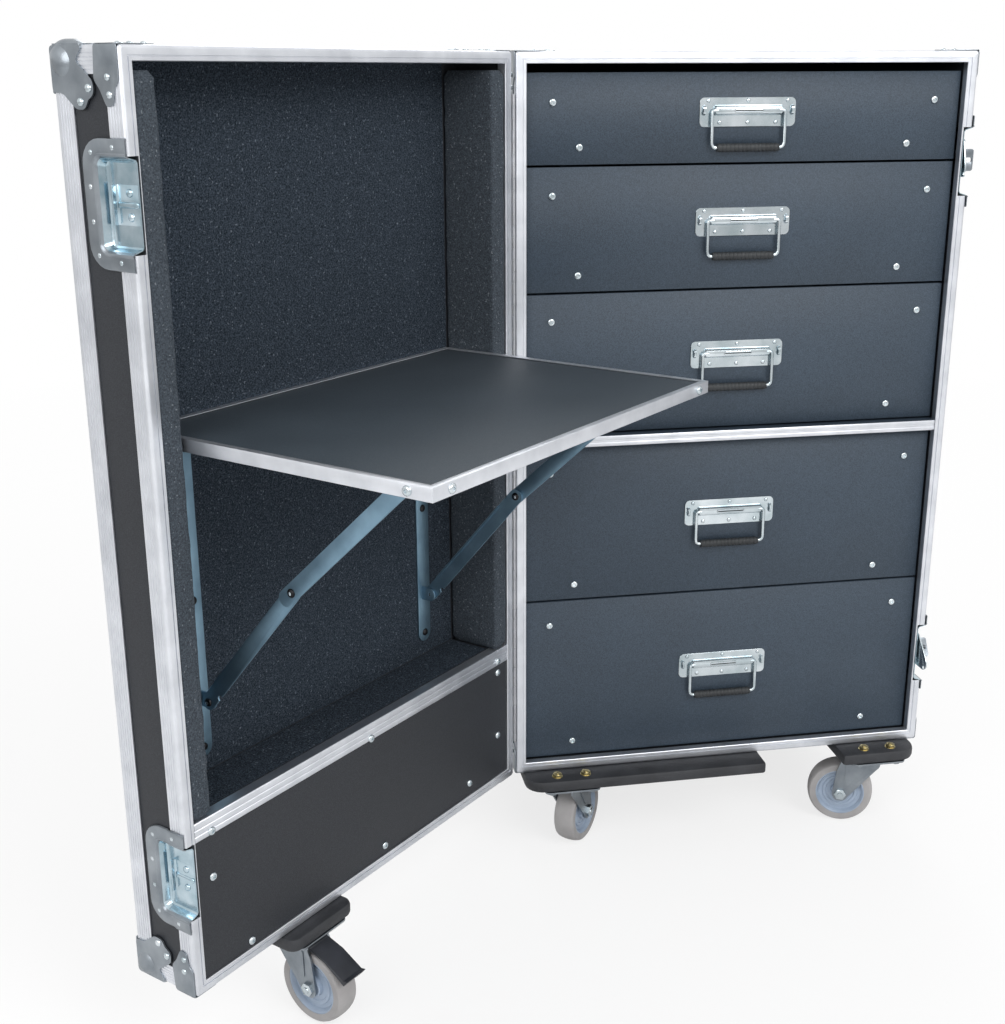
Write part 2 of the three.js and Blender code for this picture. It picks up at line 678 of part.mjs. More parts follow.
const boxLeft = panelInner + railThickness + gap;
const boxRight = caseWidth - boxLeft;
drawerSpans.forEach((span, index) => {
  const number = index + 1;
  const boxBottom = span.bottom + drawerBoxRaise;
  const boxTop = span.top - drawerBoxLowering;
  const frontPanel = block(frontLeft, frontRight, frontSetBack, frontBack, span.bottom, span.top);
  const outer = block(boxLeft + runnerThickness, boxRight - runnerThickness,
    frontBack - gap, drawerBoxEnd, boxBottom, boxTop);
  const sideInset = runnerThickness + drawerWall;
  const hollow = block(boxLeft + sideInset, boxRight - sideInset,
    frontBack, drawerBoxEnd - drawerWall, boxBottom + drawerFloorThickness, boxTop + cutOverrun);
  const middle = (span.top + span.bottom) / 2;
  const railWidth = runnerThickness + gap;
  const rails = [[boxLeft, boxLeft + railWidth], [boxRight - railWidth, boxRight]]
    .map(([x0, x1]) => block(x0, x1, frontBack + railSetBack, drawerBoxEnd,
      middle - railHeight / 2, middle + railHeight / 2));
  const box = outer.subtract(hollow);
  addFinished(`drawer_${number}`, fuse([frontPanel, box, ...rails]), 'laminate');

  const handleZ = middle + handleRaise;
  addFinished(`handle_plate_${number}`,
    bailHandle(caseWidth / 2, frontSetBack, handleZ), 'zinc');
  const wireY = frontSetBack - gap * 2 - sheetThickness - bailWireRadius;
  addFinished(`handle_bail_${number}`,
    bailAt(caseWidth / 2, wireY, handleZ + bailPivotRaise), 'zinc');
});

// The lid, modelled closed and swung open about the hinge
const lidSwing = new THREE.Matrix4().makeTranslation(hingeAxis.x, hingeAxis.y, 0)
  .multiply(new THREE.Matrix4().makeRotationZ(-THREE.MathUtils.degToRad(lidOpeningAngle)))
  .multiply(new THREE.Matrix4().makeTranslation(-hingeAxis.x, -hingeAxis.y, 0));
const addLidPart = (name, solid, finish) => addFinished(name, turned(solid, lidSwing), finish);

const lidFront = -lidFrontGap;
const lidBack = lidFront - lidDepth;
const lidInnerBack = lidFront - lidBackInset;
addLidPart('hinge_lid_leaf', hingeLeaf(false).subtract(pinBore), 'hingeSteel');
addLidPart('lid_front_frame', openingFrame(lidFront, -1), 'aluminium');
addLidPart('lid_rear_frame', rearEdging(lidBack, 1, lidFront - frontFrameDepth - gap), 'aluminium');

const lidCupPockets = Object.values(latchHeights).map((height) => block(
  caseWidth - latchCupDepth - gap, caseWidth + cutOverrun, lidFront - latchCupWidth - gap, cutOverrun,
  height - latchCupHeight / 2 - gap, height + latchCupHeight / 2 + gap));
const shellOuter = block(skin, caseWidth - skin, lidBack + skin, lidFront - lipThickness - gap,
  skin, caseHeight - skin);
const shellInner = block(panelInner, caseWidth - panelInner, lidInnerBack, cutOverrun,
  panelInner, caseHeight - panelInner);
addLidPart('lid_shell', cutAll(shellOuter, [shellInner, ...lidCupPockets]), 'laminate');

const liningStart = lipWidth + gap;
const liningFront = lidFront - gap;
const liningBack = lidInnerBack + gap;
const liningTop = caseHeight - lipWidth - liningTopGap;
const liningBottom = fasciaTop + gap;
addLidPart('lid_hinge_lining', block(liningStart, liningInset, liningBack, liningFront,
  liningBottom, liningTop), 'foam');
const latchLining = block(caseWidth - liningInset, caseWidth - liningStart, liningBack, liningFront,
  liningBottom, liningTop);
addLidPart('lid_latch_lining', latchLining, 'foam');

// Lower compartment: fascia panel, aluminium-trimmed top edge and the carpeted floor above it
const fasciaLeft = lipWidth + gap;
const fasciaRight = caseWidth - lipWidth - gap;
const fasciaFront = lidFront - lipThickness;
const fasciaPanel = block(fasciaLeft, fasciaRight, fasciaFront - fasciaThickness, fasciaFront,
  lipWidth + gap, fasciaTop - sheetThickness);
const fasciaTrim = block(fasciaLeft, fasciaRight, fasciaFront - sheetThickness, lidFront,
  fasciaTop - fasciaTrimHeight, fasciaTop);
const fasciaFloor = block(fasciaLeft, fasciaRight, liningBack, fasciaFront - sheetThickness,
  fasciaTop - fasciaFloorThickness, fasciaTop);
addLidPart('lid_fascia', fuse([fasciaPanel, fasciaTrim, fasciaFloor]), 'laminate');

for (const [label, height] of Object.entries(latchHeights)) {
  const keeper = block(cupFloor - gap, cupFloor + keeperDepth, lidFront - rotorRadius,
    lidFront - rotorRadius + wingBarrelRadius, height - keeperHeight / 2, height + keeperHeight / 2);
  const pad = block(cupFloor - gap, cupFloor + sheetThickness, lidFront - latchCupWidth * keeperPadShare,
    lidFront - rotorRadius, height - keeperHeight / 2, height + keeperHeight / 2);
  addLidPart(`lid_keeper_dish_${label}`,
    fuse([latchDish(height, lidFront, -1), keeper, pad]), 'zinc');
}

// Caster board of the lid; it drops into the notch of the case board when shut
const lidCasterAlong = (boardNotchStart + boardNotchEnd) / 2;
const lidBoardWidth = boardNotchWidth - lidBoardClearance * 2;
const lidBoardLength = lidDepth + lidBoardProjection;
const lidBoardMiddle = lidFront + lidBoardProjection - lidBoardLength / 2;
const lidBoard = placed(
  slab(roundedOutline(lidBoardWidth, lidBoardLength, boardCornerRadius / 2), boardThickness),
  new THREE.Matrix4().makeTranslation(lidCasterAlong, lidBoardMiddle, boardBottom));
const lidCasterY = lidFront - lidCasterDepth;
addLidPart('lid_caster_board',
  fuse([lidBoard, ...casterMount(lidCasterAlong, lidCasterY, boardBottom)]), 'blackPlastic');

// Folding shelf
const shelfLeft = shelfInset;
const shelfRight = caseWidth - shelfInset;
const shelfFront = lidFront + shelfProjectionLength;
const shelfBack = lidInnerBack + gap * 2;
const shelfBottom = shelfTop - shelfThickness;
const boardUnder = shelfBottom + gap;
const shelfPanelTop = shelfTop - shelfLipThickness - gap;
const edgeInset = sheetThickness + gap;
const edgingOuter = block(shelfLeft, shelfRight, shelfBack, shelfFront, shelfBottom + gap * 2, shelfTop);
const edgingHollow = block(shelfLeft + sheetThickness, shelfRight - sheetThickness,
  shelfBack + sheetThickness, shelfFront - sheetThickness,
  shelfBottom - cutOverrun, shelfTop - shelfLipThickness);
const edgingWindow = block(shelfLeft + shelfLipWidth, shelfRight - shelfLipWidth,
  shelfBack + shelfLipWidth, shelfFront - shelfLipWidth, shelfBottom, shelfTop + cutOverrun);
addLidPart('shelf_edging', edgingOuter.subtract(edgingHollow).subtract(edgingWindow), 'aluminium');

const cornerPivotY = lidInnerBack + wallPivotStandOff;
const cornerPivotZ = shelfTop - cornerPivotDepth;
const wallPivotZ = cornerPivotZ - wallPivotDistance;
const shelfPivotY = cornerPivotY + shelfPivotDistance;
const reachSpan = Math.hypot(shelfPivotDistance, wallPivotDistance);
const cosLower = (lowerLinkLength ** 2 + reachSpan ** 2 - upperLinkLength ** 2)
  / (2 * lowerLinkLength * reachSpan);
const lowerAngle = Math.atan2(wallPivotDistance, shelfPivotDistance) + Math.acos(cosLower);
const midPivotY = cornerPivotY + lowerLinkLength * Math.cos(lowerAngle);
const midPivotZ = wallPivotZ + lowerLinkLength * Math.sin(lowerAngle);

// A flat link with round ends between two points of the y-z plane
function linkBar(from, to, x0, x1, width) {
  const direction = Math.atan2(to[1] - from[1], to[0] - from[0]);
  const length = Math.hypot(to[0] - from[0], to[1] - from[1]);
  const shape = new THREE.Shape();
  const radius = width / 2;
  shape.absarc(0, 0, radius, Math.PI / 2, Math.PI * 1.5, false);
  shape.absarc(length, 0, radius, -Math.PI / 2, Math.PI / 2, false);
  const geometry = slab(shape, x1 - x0, linkEndSegments);
  geometry.rotateZ(direction);
  geometry.translate(from[0], from[1], 0);
  geometry.applyMatrix4(standOnX);
  geometry.translate(x0, 0, 0);
  return toSolid(geometry);
}

function bracket(mirror) {
  const stripMiddle = bracketThickness * 2;
  const place = (x0, x1) => {
    const span = [x0, x1].map((x) => bracketInset + stripMiddle * 2 - x);
    return (mirror ? span.map((x) => caseWidth - x) : span).sort((a, b) => a - b);
  };
  const level = (index) => {
    const start = index * (bracketThickness + gap);
    return place(start, start + bracketThickness);
  };
  const corner = [cornerPivotY, cornerPivotZ];
  const wall = [cornerPivotY, wallPivotZ];
  const shelfPoint = [shelfPivotY, cornerPivotZ];
  const middle = [midPivotY, midPivotZ];
  const pinThrough = (point, first, last, radius) => {
    const near = level(first);
    const far = level(last);
    const x0 = Math.min(near[0], far[0]);
    const x1 = Math.max(near[1], far[1]);
    return rod('x', radius, x1 - x0, [(x0 + x1) / 2, ...point]);
  };
  const holeRadius = (linkPinRadius + gap) / Math.cos(Math.PI / pinSides);
  const hole = (point) => rod('x', holeRadius, caseWidth * 2, [0, ...point]);
  const stripSpan = place(stripMiddle - bracketStripWidth / 2, stripMiddle + bracketStripWidth / 2);
  const stripBack = lidInnerBack + gap;
  const ear = (point, towardsWall, index) => linkBar(point,
    towardsWall ? [stripBack + bracketThickness, point[1]] : [point[0], boardUnder - bracketThickness * 2],
    ...level(index), linkWidth);
  const wallTop = boardUnder - bracketThickness - gap * 2;
  const wallEnd = wallPivotZ - wallStripTailLength + bracketStripWidth / 2;
  const wallStrip = block(...stripSpan, stripBack, stripBack + bracketThickness, wallEnd, wallTop)
    .add(rod('y', bracketStripWidth / 2, bracketThickness,
      [(stripSpan[0] + stripSpan[1]) / 2, stripBack + bracketThickness / 2, wallEnd], discSides));
  const behindWall = block(0, caseWidth, lidBack, stripBack, 0, caseHeight);
  const aboveShelf = block(0, caseWidth, lidBack, shelfFront + cutOverrun, boardUnder, caseHeight);
  const overStrip = block(0, caseWidth, lidBack, shelfFront, wallTop, caseHeight);
  const wallLeg = fuse([wallStrip, ear(corner, true, 0), ear(wall, true, 0),
    pinThrough(corner, 0, 1, linkPinRadius), pinThrough(wall, 0, 1, linkPinRadius)])
    .subtract(behindWall).subtract(overStrip);
  const shelfStrip = block(...stripSpan, cornerPivotY - gap, shelfPivotY + stripOverhang,
    boardUnder - bracketThickness, boardUnder + gap);
  const shelfLeg = fuse([shelfStrip, ear(corner, false, 1).subtract(hole(corner)),
    ear(shelfPoint, false, 3), pinThrough(shelfPoint, 2, 3, linkPinRadius)]).subtract(aboveShelf);
  const lower = linkBar(wall, middle, ...level(1), linkWidth).subtract(hole(wall))
    .add(linkLip(wall, middle, place));
  const upper = linkBar(middle, shelfPoint, ...level(2), linkWidth)
    .subtract(hole(middle)).subtract(hole(shelfPoint));
  return { wallLeg, shelfLeg, lower, upper };
}

// Stiffening lip along the free stretch of the lower link
function linkLip(from, to, place) {
  const along = (share) => from.map((value, axis) => value + (to[axis] - value) * share);
  const length = Math.hypot(to[0] - from[0], to[1] - from[1]);
  const normal = [-(to[1] - from[1]) / length, (to[0] - from[0]) / length];
  const offset = linkWidth / 2 - bracketThickness / 2;
  const shifted = (point) => [point[0] + normal[0] * offset, point[1] + normal[1] * offset];
  const start = bracketThickness + gap;
  const [lipStart, lipEnd] = linkLipShares.map((share) => shifted(along(share)));
  return linkBar(lipStart, lipEnd, ...place(start - linkLipWidth, start + gap), bracketThickness);
}

const brackets = { hinge: bracket(false), latch: bracket(true) };
const shelfBoard = block(shelfLeft + edgeInset, shelfRight - edgeInset,
  shelfBack + edgeInset, shelfFront - edgeInset, boardUnder, shelfPanelTop);
addLidPart('shelf_board', fuse([shelfBoard, brackets.hinge.shelfLeg, brackets.latch.shelfLeg]),
  'laminate');
for (const [label, pieces] of Object.entries(brackets)) {
  addLidPart(`bracket_wall_leg_${label}`, pieces.wallLeg, 'bracketSteel');
  addLidPart(`bracket_lower_link_${label}`, pieces.lower, 'bracketSteel');
  addLidPart(`bracket_upper_link_${label}`, pieces.upper, 'bracketSteel');
}

// Casters: the fork trails along +x of its own frame before it is turned and placed
const forkTop = boardBottom - casterPlateThickness - raceHeight - gap;
const axleZ = -floorClearance + wheelRadius;
const forkInner = wheelWidth / 2 + wheelSideClearance;

function casterFork() {
  const capCentre = [0, 0, forkTop - forkTopThickness / 2];
  const cap = rod('z', forkTopRadius, forkTopThickness, capCentre, discSides);
  const wheelRoom = rod('y', wheelRadius + wheelRimClearance, forkInner * 2,
    [forkTrailLength, 0, axleZ], wheelSides);
  const [backShare, neckShare] = forkBackShares;
  const [footShare, toeShare] = forkFootShares;
  const legs = [-1, 1].map((side) => {
    const outline = polygonOutline([
      [-forkTopRadius * backShare, forkTop - forkTopThickness + gap],
      [-forkTopRadius * neckShare, forkTop - forkShoulderDrop],
      [forkTrailLength - forkLegWidth / 2, axleZ - axleNutRadius * footShare],
      [forkTrailLength - forkLegWidth / 4, axleZ - axleNutRadius * toeShare],
      [forkTrailLength + forkLegWidth / 4, axleZ - axleNutRadius * toeShare],
      [forkTrailLength + forkLegWidth / 2, axleZ - axleNutRadius * footShare],
      [forkTrailLength + forkCheekReach, forkTop - forkCheekDrop],
      [forkTrailLength + forkCheekReach / 2, forkTop - forkTopThickness + gap],
    ].reverse());
    const geometry = slab(outline, forkThickness);
    geometry.applyMatrix4(standOnY);
    geometry.translate(0, side > 0 ? forkInner + forkThickness : -forkInner, 0);
    return toSolid(geometry);
  });
  const bridge = block(-forkTopRadius * forkBridgeShare, forkTopRadius * forkBridgeShare,
    -forkInner - forkThickness, forkInner + forkThickness,
    forkTop - forkTopThickness, forkTop);
  const axle = rod('y', axleRadius, (forkInner + forkThickness) * 2, [forkTrailLength, 0, axleZ]);
  const nuts = [-1, 1].map((side) => rod('y', axleNutRadius, axleNutHeight + gap,
    [forkTrailLength, side * (forkInner + forkThickness + axleNutHeight / 2), axleZ], nutSides));
  return fuse([fuse([cap, bridge, ...legs]).subtract(wheelRoom), axle, ...nuts]);
}

function casterWheel() {
  const half = wheelWidth / 2;
  const recessed = half - webRecess;
  const shoulder = wheelRadius * shoulderShare;
  const profile = [
    [wheelBoreRadius, -half], [hubRadius, -half], [hubRadius, -recessed], [webRadius, -recessed],
    [webRadius, -half], [shoulder, -half], [wheelRadius, -half * treadShare],
    [wheelRadius, half * treadShare], [shoulder, half], [webRadius, half],
    [webRadius, recessed], [hubRadius, recessed], [hubRadius, half], [wheelBoreRadius, half],
    [wheelBoreRadius, -half],
  ].map(([radius, along]) => new THREE.Vector2(radius, along));
  const wheel = new THREE.LatheGeometry(profile, wheelSides);
  wheel.translate(forkTrailLength, 0, axleZ);
  return toSolid(wheel);
}

// Foot pedal of the braked caster: it follows the tyre from its cross pin and ends in a lip
function brakePedal() {
  const polar = (degrees, radius) => {
    const angle = THREE.MathUtils.degToRad(degrees);
    return [forkTrailLength + radius * Math.cos(angle), axleZ + radius * Math.sin(angle)];
  };
  const near = wheelRadius + pedalClearance;
  const far = near + pedalThickness;
  const outline = polygonOutline([
    polar(pedalStartAngle, near), polar(pedalBendAngle, near), polar(pedalEndAngle, near + pedalFlare),
    polar(pedalEndAngle + pedalLipAngles[0], far + pedalFlare + pedalLipLength),
    polar(pedalEndAngle + pedalLipAngles[1], far + pedalFlare),
    polar(pedalBendAngle, far), polar(pedalStartAngle, far),
  ].reverse());
  const width = (forkInner - gap) * 2;
  const geometry = slab(outline, width);
  geometry.applyMatrix4(standOnY);
  geometry.translate(0, width / 2, 0);
  const crossPin = rod('y', pedalPinRadius, width, [forkTrailLength, 0, forkTop - pedalPinDrop]);
  return toSolid(geometry).add(crossPin);
}

const casterNames = ['front_left', 'front_right', 'rear_left', 'rear_right', 'lid'];
const lidCasterPoint = new THREE.Vector3(lidCasterAlong, lidCasterY, 0).applyMatrix4(lidSwing);
const casterPoints = [...caseCasters, [lidCasterPoint.x, lidCasterPoint.y]];
casterNames.forEach((name, index) => {
  const [x, y] = casterPoints[index];
  const place = new THREE.Matrix4().makeTranslation(x, y, 0)
    .multiply(new THREE.Matrix4().makeRotationZ(THREE.MathUtils.degToRad(casterTurns[index])));
  addFinished(`caster_fork_${name}`, turned(casterFork(), place), 'zinc');
  addFinished(`caster_wheel_${name}`, turned(casterWheel(), place), 'tyre');
  if (name === 'lid') {
    addFinished('caster_brake_pedal', turned(brakePedal(), place), 'blackPlastic');
  }
});

// Set the whole thing on the floor with its floor-level middle at the origin
const roadCase = new THREE.Group();
roadCase.name = 'road_case_with_drawers';
const bounds = new THREE.Box3();
parts.forEach((mesh) => {
  mesh.geometry.computeBoundingBox();
  bounds.union(mesh.geometry.boundingBox);
});
const middlePoint = bounds.getCenter(new THREE.Vector3());
parts.forEach((mesh) => {
  mesh.geometry.translate(-middlePoint.x, -middlePoint.y, -bounds.min.z);
  roadCase.add(mesh);
});

export default roadCase;
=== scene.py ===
import json
import math

import bmesh
import bpy
from mathutils import Matrix, Vector, noise


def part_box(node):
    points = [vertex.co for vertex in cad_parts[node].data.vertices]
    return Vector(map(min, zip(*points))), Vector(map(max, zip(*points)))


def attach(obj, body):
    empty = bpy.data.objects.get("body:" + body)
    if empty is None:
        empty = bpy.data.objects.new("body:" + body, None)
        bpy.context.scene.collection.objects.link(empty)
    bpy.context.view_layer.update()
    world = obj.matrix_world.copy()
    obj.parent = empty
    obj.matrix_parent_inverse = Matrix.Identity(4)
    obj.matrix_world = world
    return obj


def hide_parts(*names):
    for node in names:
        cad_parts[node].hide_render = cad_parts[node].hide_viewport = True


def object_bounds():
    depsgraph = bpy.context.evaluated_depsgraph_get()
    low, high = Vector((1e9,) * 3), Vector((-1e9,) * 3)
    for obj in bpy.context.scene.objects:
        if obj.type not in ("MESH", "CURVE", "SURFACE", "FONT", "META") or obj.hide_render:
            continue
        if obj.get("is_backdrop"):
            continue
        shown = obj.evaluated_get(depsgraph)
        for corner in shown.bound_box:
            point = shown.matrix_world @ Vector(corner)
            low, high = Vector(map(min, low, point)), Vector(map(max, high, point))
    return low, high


# Looks of the road case with drawers: finishes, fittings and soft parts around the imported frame.
# Lengths are metres. Case pieces are drawn from the case body's front lower left corner, lid
# pieces as if the lid were closed in front of it, and the place matrices stand them in the frame.

# Meshing
ROUND_SIDES = 48
SMALL_SIDES = 24
WIRE_SIDES = 16
CORNER_STEPS = 6
FILLET_STEPS = 5
SHARP_ANGLE = math.radians(32)
BEVEL_ANGLE = math.radians(38)
WELD = 0.00002
OVERRUN = 0.005
GAP = 0.0003

# Widths of softly broken edges
TRIM_EDGE = 0.0002
FINE_EDGE = 0.0003
PLATE_EDGE = 0.0004
STEEL_EDGE = 0.0005
PANEL_EDGE = 0.0006
DRAWER_EDGE = 0.0008

# Case, lid and edging
CASE_WIDTH = 0.634
CASE_HEIGHT = 1.020
CASE_DEPTH = 0.480
LID_DEPTH = 0.096
LID_FRONT = -0.001
LID_OPENING = math.radians(134.6)
HINGE = Vector((-0.0022, -0.0005, 0))
SHEET = 0.0015
LIP_WIDTH = 0.015
LIP_THICKNESS = 0.002
SKIRT_DEPTH = 0.022
LEG_DEPTH = 0.012
EDGE_ANGLE = 0.026
EDGE_RADIUS = 0.0035
RIB_DEPTH = 0.0005
RIB_WIDTH = 0.0013
GROOVE_START = 0.0092
GROOVE_END = 0.0107
GROOVE_DEPTH = 0.0010

# Corners
BALL_RADIUS = 0.021
BALL_STAND_OFF = 0.006
TIP_INSET = 0.0117
TIP_DEPTH = 0.008
BALL_RINGS = 32
BALL_CUT = 0.2
EAR_ROUND = 0.005
BRACE_ROUND = 0.004
EAR_OUTLINE = (
    (0, 0), (0.044, 0), (0.044, 0.004), (0.035, 0.014), (0.058, 0.032), (0.058, 0.044),
    (0.050, 0.049), (0.049, 0.050), (0.044, 0.058), (0.032, 0.058), (0.014, 0.043), (0, 0.043),
)
EAR_RIVETS = ((0.051, 0.0385), (0.0385, 0.051))
BRACE_OUTLINE = (
    (0.0024, -0.0012), (0.0024, 0.032), (0.0095, 0.040), (0.0115, 0.054), (0.0215, 0.056),
    (0.0295, 0.040), (0.037, 0.031), (0.034, -0.0012),
)
BRACE_RIVETS = ((0.0178, 0.0288), (0.0165, 0.0446))
BRACE_THICKNESS = 0.0012

# Small fasteners
RIVET_PROFILE = ((0.0042, 0), (0.0040, 0.0008), (0.0032, 0.0016), (0.0019, 0.0021), (0.0006, 0.0023))
SCREW_PROFILE = ((0.0053, 0), (0.0053, 0.0006), (0.0050, 0.0015), (0.0041, 0.0023), (0.0030, 0.0027))
BRACE_RIVET_SHARE = 0.85
FLANGE_RIVET_SHARE = 0.75
HANDLE_RIVET_SHARE = 0.68
HINGE_RIVET_SHARE = 0.6
SOCKET_RADIUS = 0.0019
SOCKET_DEPTH = 0.0016

# Drawer screws: distance from the outer side, and from the drawer's top or bottom
UPPER_SCREWS = (0.052, 0.037)
LOWER_SCREWS = (0.088, 0.022)

# Camera, fitted to the photograph
CAMERA_SPOT = Vector((-0.3355, -1.8154, 0.9919))
CAMERA_YAW = math.radians(9.89)
CAMERA_PITCH = math.radians(17.55)
CAMERA_ROLL = math.radians(-0.26)
CAMERA_LENS = 48.64
CAMERA_SENSOR = 36

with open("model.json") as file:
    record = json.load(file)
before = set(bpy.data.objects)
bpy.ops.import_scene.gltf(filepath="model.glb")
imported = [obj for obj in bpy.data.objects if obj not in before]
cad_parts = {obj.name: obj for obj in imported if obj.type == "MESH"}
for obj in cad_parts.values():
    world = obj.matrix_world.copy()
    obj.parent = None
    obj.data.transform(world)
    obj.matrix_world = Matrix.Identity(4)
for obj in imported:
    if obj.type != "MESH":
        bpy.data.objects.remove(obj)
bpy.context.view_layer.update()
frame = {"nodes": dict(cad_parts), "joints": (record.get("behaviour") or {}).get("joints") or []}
nodes = frame["nodes"]
scene = bpy.context.scene

CASE = Matrix.Translation(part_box("case_front_frame")[0])
LID = (CASE @ Matrix.Translation(HINGE) @ Matrix.Rotation(-LID_OPENING, 4, "Z")
       @ Matrix.Translation(-HINGE))

joints = {joint["name"]: joint for joint in frame["joints"]}

# Axes swaps: an outline drawn in (u, v) with its height in w, stood on a side face, on the case's
# front, or on a face of the lid's inside that looks along +y, turned round or straight
ON_SIDE = Matrix(((0, 0, 1, 0), (1, 0, 0, 0), (0, 1, 0, 0), (0, 0, 0, 1)))
ON_FRONT = Matrix(((1, 0, 0, 0), (0, 0, -1, 0), (0, 1, 0, 0), (0, 0, 0, 1)))
TO_FRONT = Matrix(((-1, 0, 0, 0), (0, 0, 1, 0), (0, 1, 0, 0), (0, 0, 0, 1)))
ON_BACK = Matrix(((1, 0, 0, 0), (0, 0, 1, 0), (0, 1, 0, 0), (0, 0, 0, 1)))

# The four corners of the case outline, each coordinate with the sign that leads inward from it
CORNERS = [(x, in_x, z, in_z) for x, in_x in ((0, 1), (CASE_WIDTH, -1))
           for z, in_z in ((0, 1), (CASE_HEIGHT, -1))]


def at(x, y, z):
    return Matrix.Translation((x, y, z))


def joint_spot(name, place=CASE):
    return place.inverted() @ Vector(joints[name]["pos_m"])


def local_box(name, place):
    """A CAD node's box in case or lid coordinates."""
    back = place.inverted()
    corners = [back @ vertex.co for vertex in nodes[name].data.vertices]
    low = Vector([min(corner[axis] for corner in corners) for axis in range(3)])
    high = Vector([max(corner[axis] for corner in corners) for axis in range(3)])
    return low, high


# Camera
def make_camera():
    forward = Vector((math.sin(CAMERA_YAW) * math.cos(CAMERA_PITCH),
                      math.cos(CAMERA_YAW) * math.cos(CAMERA_PITCH), -math.sin(CAMERA_PITCH)))
    level = Vector((math.cos(CAMERA_YAW), -math.sin(CAMERA_YAW), 0))
    above = level.cross(forward)
    right = level * math.cos(CAMERA_ROLL) + above * math.sin(CAMERA_ROLL)
    up = above * math.cos(CAMERA_ROLL) - level * math.sin(CAMERA_ROLL)
    data = bpy.data.cameras.new("camera")
    data.lens = CAMERA_LENS
    data.sensor_width = CAMERA_SENSOR
    camera = bpy.data.objects.new("camera", data)
    scene.collection.objects.link(camera)
    turn = Matrix((right, up, -forward)).transposed().to_4x4()
    camera.matrix_world = Matrix.Translation(CASE @ CAMERA_SPOT) @ turn
    scene.camera = camera


make_camera()


# Materials
class Look:
    """One procedural material, built around its Principled shader."""

    def __init__(self, name, roughness=0.5, metallic=0.0, specular=0.5):
        self.material = bpy.data.materials.new(name)
        self.material.use_nodes = True
        self.tree = self.material.node_tree
        self.shader = self.tree.nodes["Principled BSDF"]
        self.shader.inputs["Metallic"].default_value = metallic
        self.shader.inputs["Roughness"].default_value = roughness
        self.shader.inputs["Specular IOR Level"].default_value = specular
        self.place = self.node("ShaderNodeTexCoord").outputs["Object"]

    def node(self, kind, links=None, **settings):
        made = self.tree.nodes.new(kind)
        for key, value in settings.items():
            setattr(made, key, value)
        for key, value in (links or {}).items():
            if isinstance(value, bpy.types.NodeSocket):
                self.tree.links.new(value, made.inputs[key])
            else:
                made.inputs[key].default_value = value
        return made

    def noise(self, scale, detail=3.0, stretch=(1, 1, 1)):
        place = self.place
        if stretch != (1, 1, 1):
            place = self.node("ShaderNodeMapping", {"Vector": place, "Scale": stretch}).outputs["Vector"]
        made = self.node("ShaderNodeTexNoise", {"Vector": place, "Scale": scale, "Detail": detail})
        return made.outputs["Fac"]

    def ramp(self, value, stops):
        made = self.node("ShaderNodeValToRGB", {"Fac": value})
        elements = made.color_ramp.elements
        while len(elements) < len(stops):
            elements.new(1.0)
        for element, (position, colour) in zip(elements, stops):
            element.position = position
            element.color = (*colour, 1.0)
        return made.outputs["Color"]

    def blend(self, first, second, share, mode="MIX"):
        made = self.node("ShaderNodeMix", data_type="RGBA", blend_type=mode)
        for socket, value in zip((made.inputs[0], made.inputs[6], made.inputs[7]), (share, first, second)):
            if isinstance(value, bpy.types.NodeSocket):
                self.tree.links.new(value, socket)
            else:
                socket.default_value = value
        return made.outputs[2]

    def colour(self, socket):
        self.tree.links.new(socket, self.shader.inputs["Base Color"])
        return self

    def rough(self, value, low, high):
        made = self.node("ShaderNodeMapRange", {"Value": value, "To Min": low, "To Max": high})
        self.tree.links.new(made.outputs["Result"], self.shader.inputs["Roughness"])
        return self

    def bump(self, value, distance, strength=1.0):
        made = self.node("ShaderNodeBump", {"Height": value, "Distance": distance, "Strength": strength})
        self.tree.links.new(made.outputs["Normal"], self.shader.inputs["Normal"])
        return self


def laminate_look(name, dark, light, grain=900):
    """Phenolic laminate: a fine pebbled face with faint clouds of wear."""
    look = Look(name, specular=0.45)
    speckle = look.noise(grain, 2.0)
    clouds = look.noise(9, 4.0)
    base = look.ramp(speckle, ((0.38, dark), (0.66, light)))
    worn = look.ramp(clouds, ((0.35, (0.93, 0.93, 0.93)), (0.7, (1.06, 1.06, 1.06))))
    look.colour(look.blend(base, worn, 1.0, "MULTIPLY"))
    return look.rough(clouds, 0.50, 0.62).bump(speckle, 0.00025, 0.7).material


def metal_look(name, dark, light, low, high, cloud=30, streak=(1, 1, 1)):
    """Plated or drawn metal: cloudy plating colour and fine drawing streaks in the gloss."""
    look = Look(name, metallic=1.0)
    clouds = look.noise(cloud, 4.0)
    streaks = look.noise(700, 2.0, streak)
    look.colour(look.ramp(clouds, ((0.3, dark), (0.72, light))))
    return look.rough(streaks, low, high).bump(streaks, 0.00006, 0.5).material


def plastic_look(name, dark, light, low, high, grain=500, distance=0.0002):
    look = Look(name)
    grains = look.noise(grain, 3.0)
    clouds = look.noise(25, 3.0)
    look.colour(look.ramp(clouds, ((0.3, dark), (0.7, light))))
    return look.rough(grains, low, high).bump(grains, distance, 0.6).material


def carpet_look(name, dark, light, fleck, scale=700):
    """Needle felt or bonded foam: dark pile with paler flecks."""
    look = Look(name, roughness=0.95, specular=0.15)
    pile = look.noise(scale, 4.0)
    flecks = look.noise(scale * 0.55, 1.0)
    base = look.ramp(pile, ((0.35, dark), (0.68, light)))
    mask = look.ramp(flecks, ((0.66, (0, 0, 0)), (0.74, (1, 1, 1))))
    look.colour(look.blend(base, (*fleck, 1.0), mask))
    return look.bump(pile, 0.0012, 0.9).material


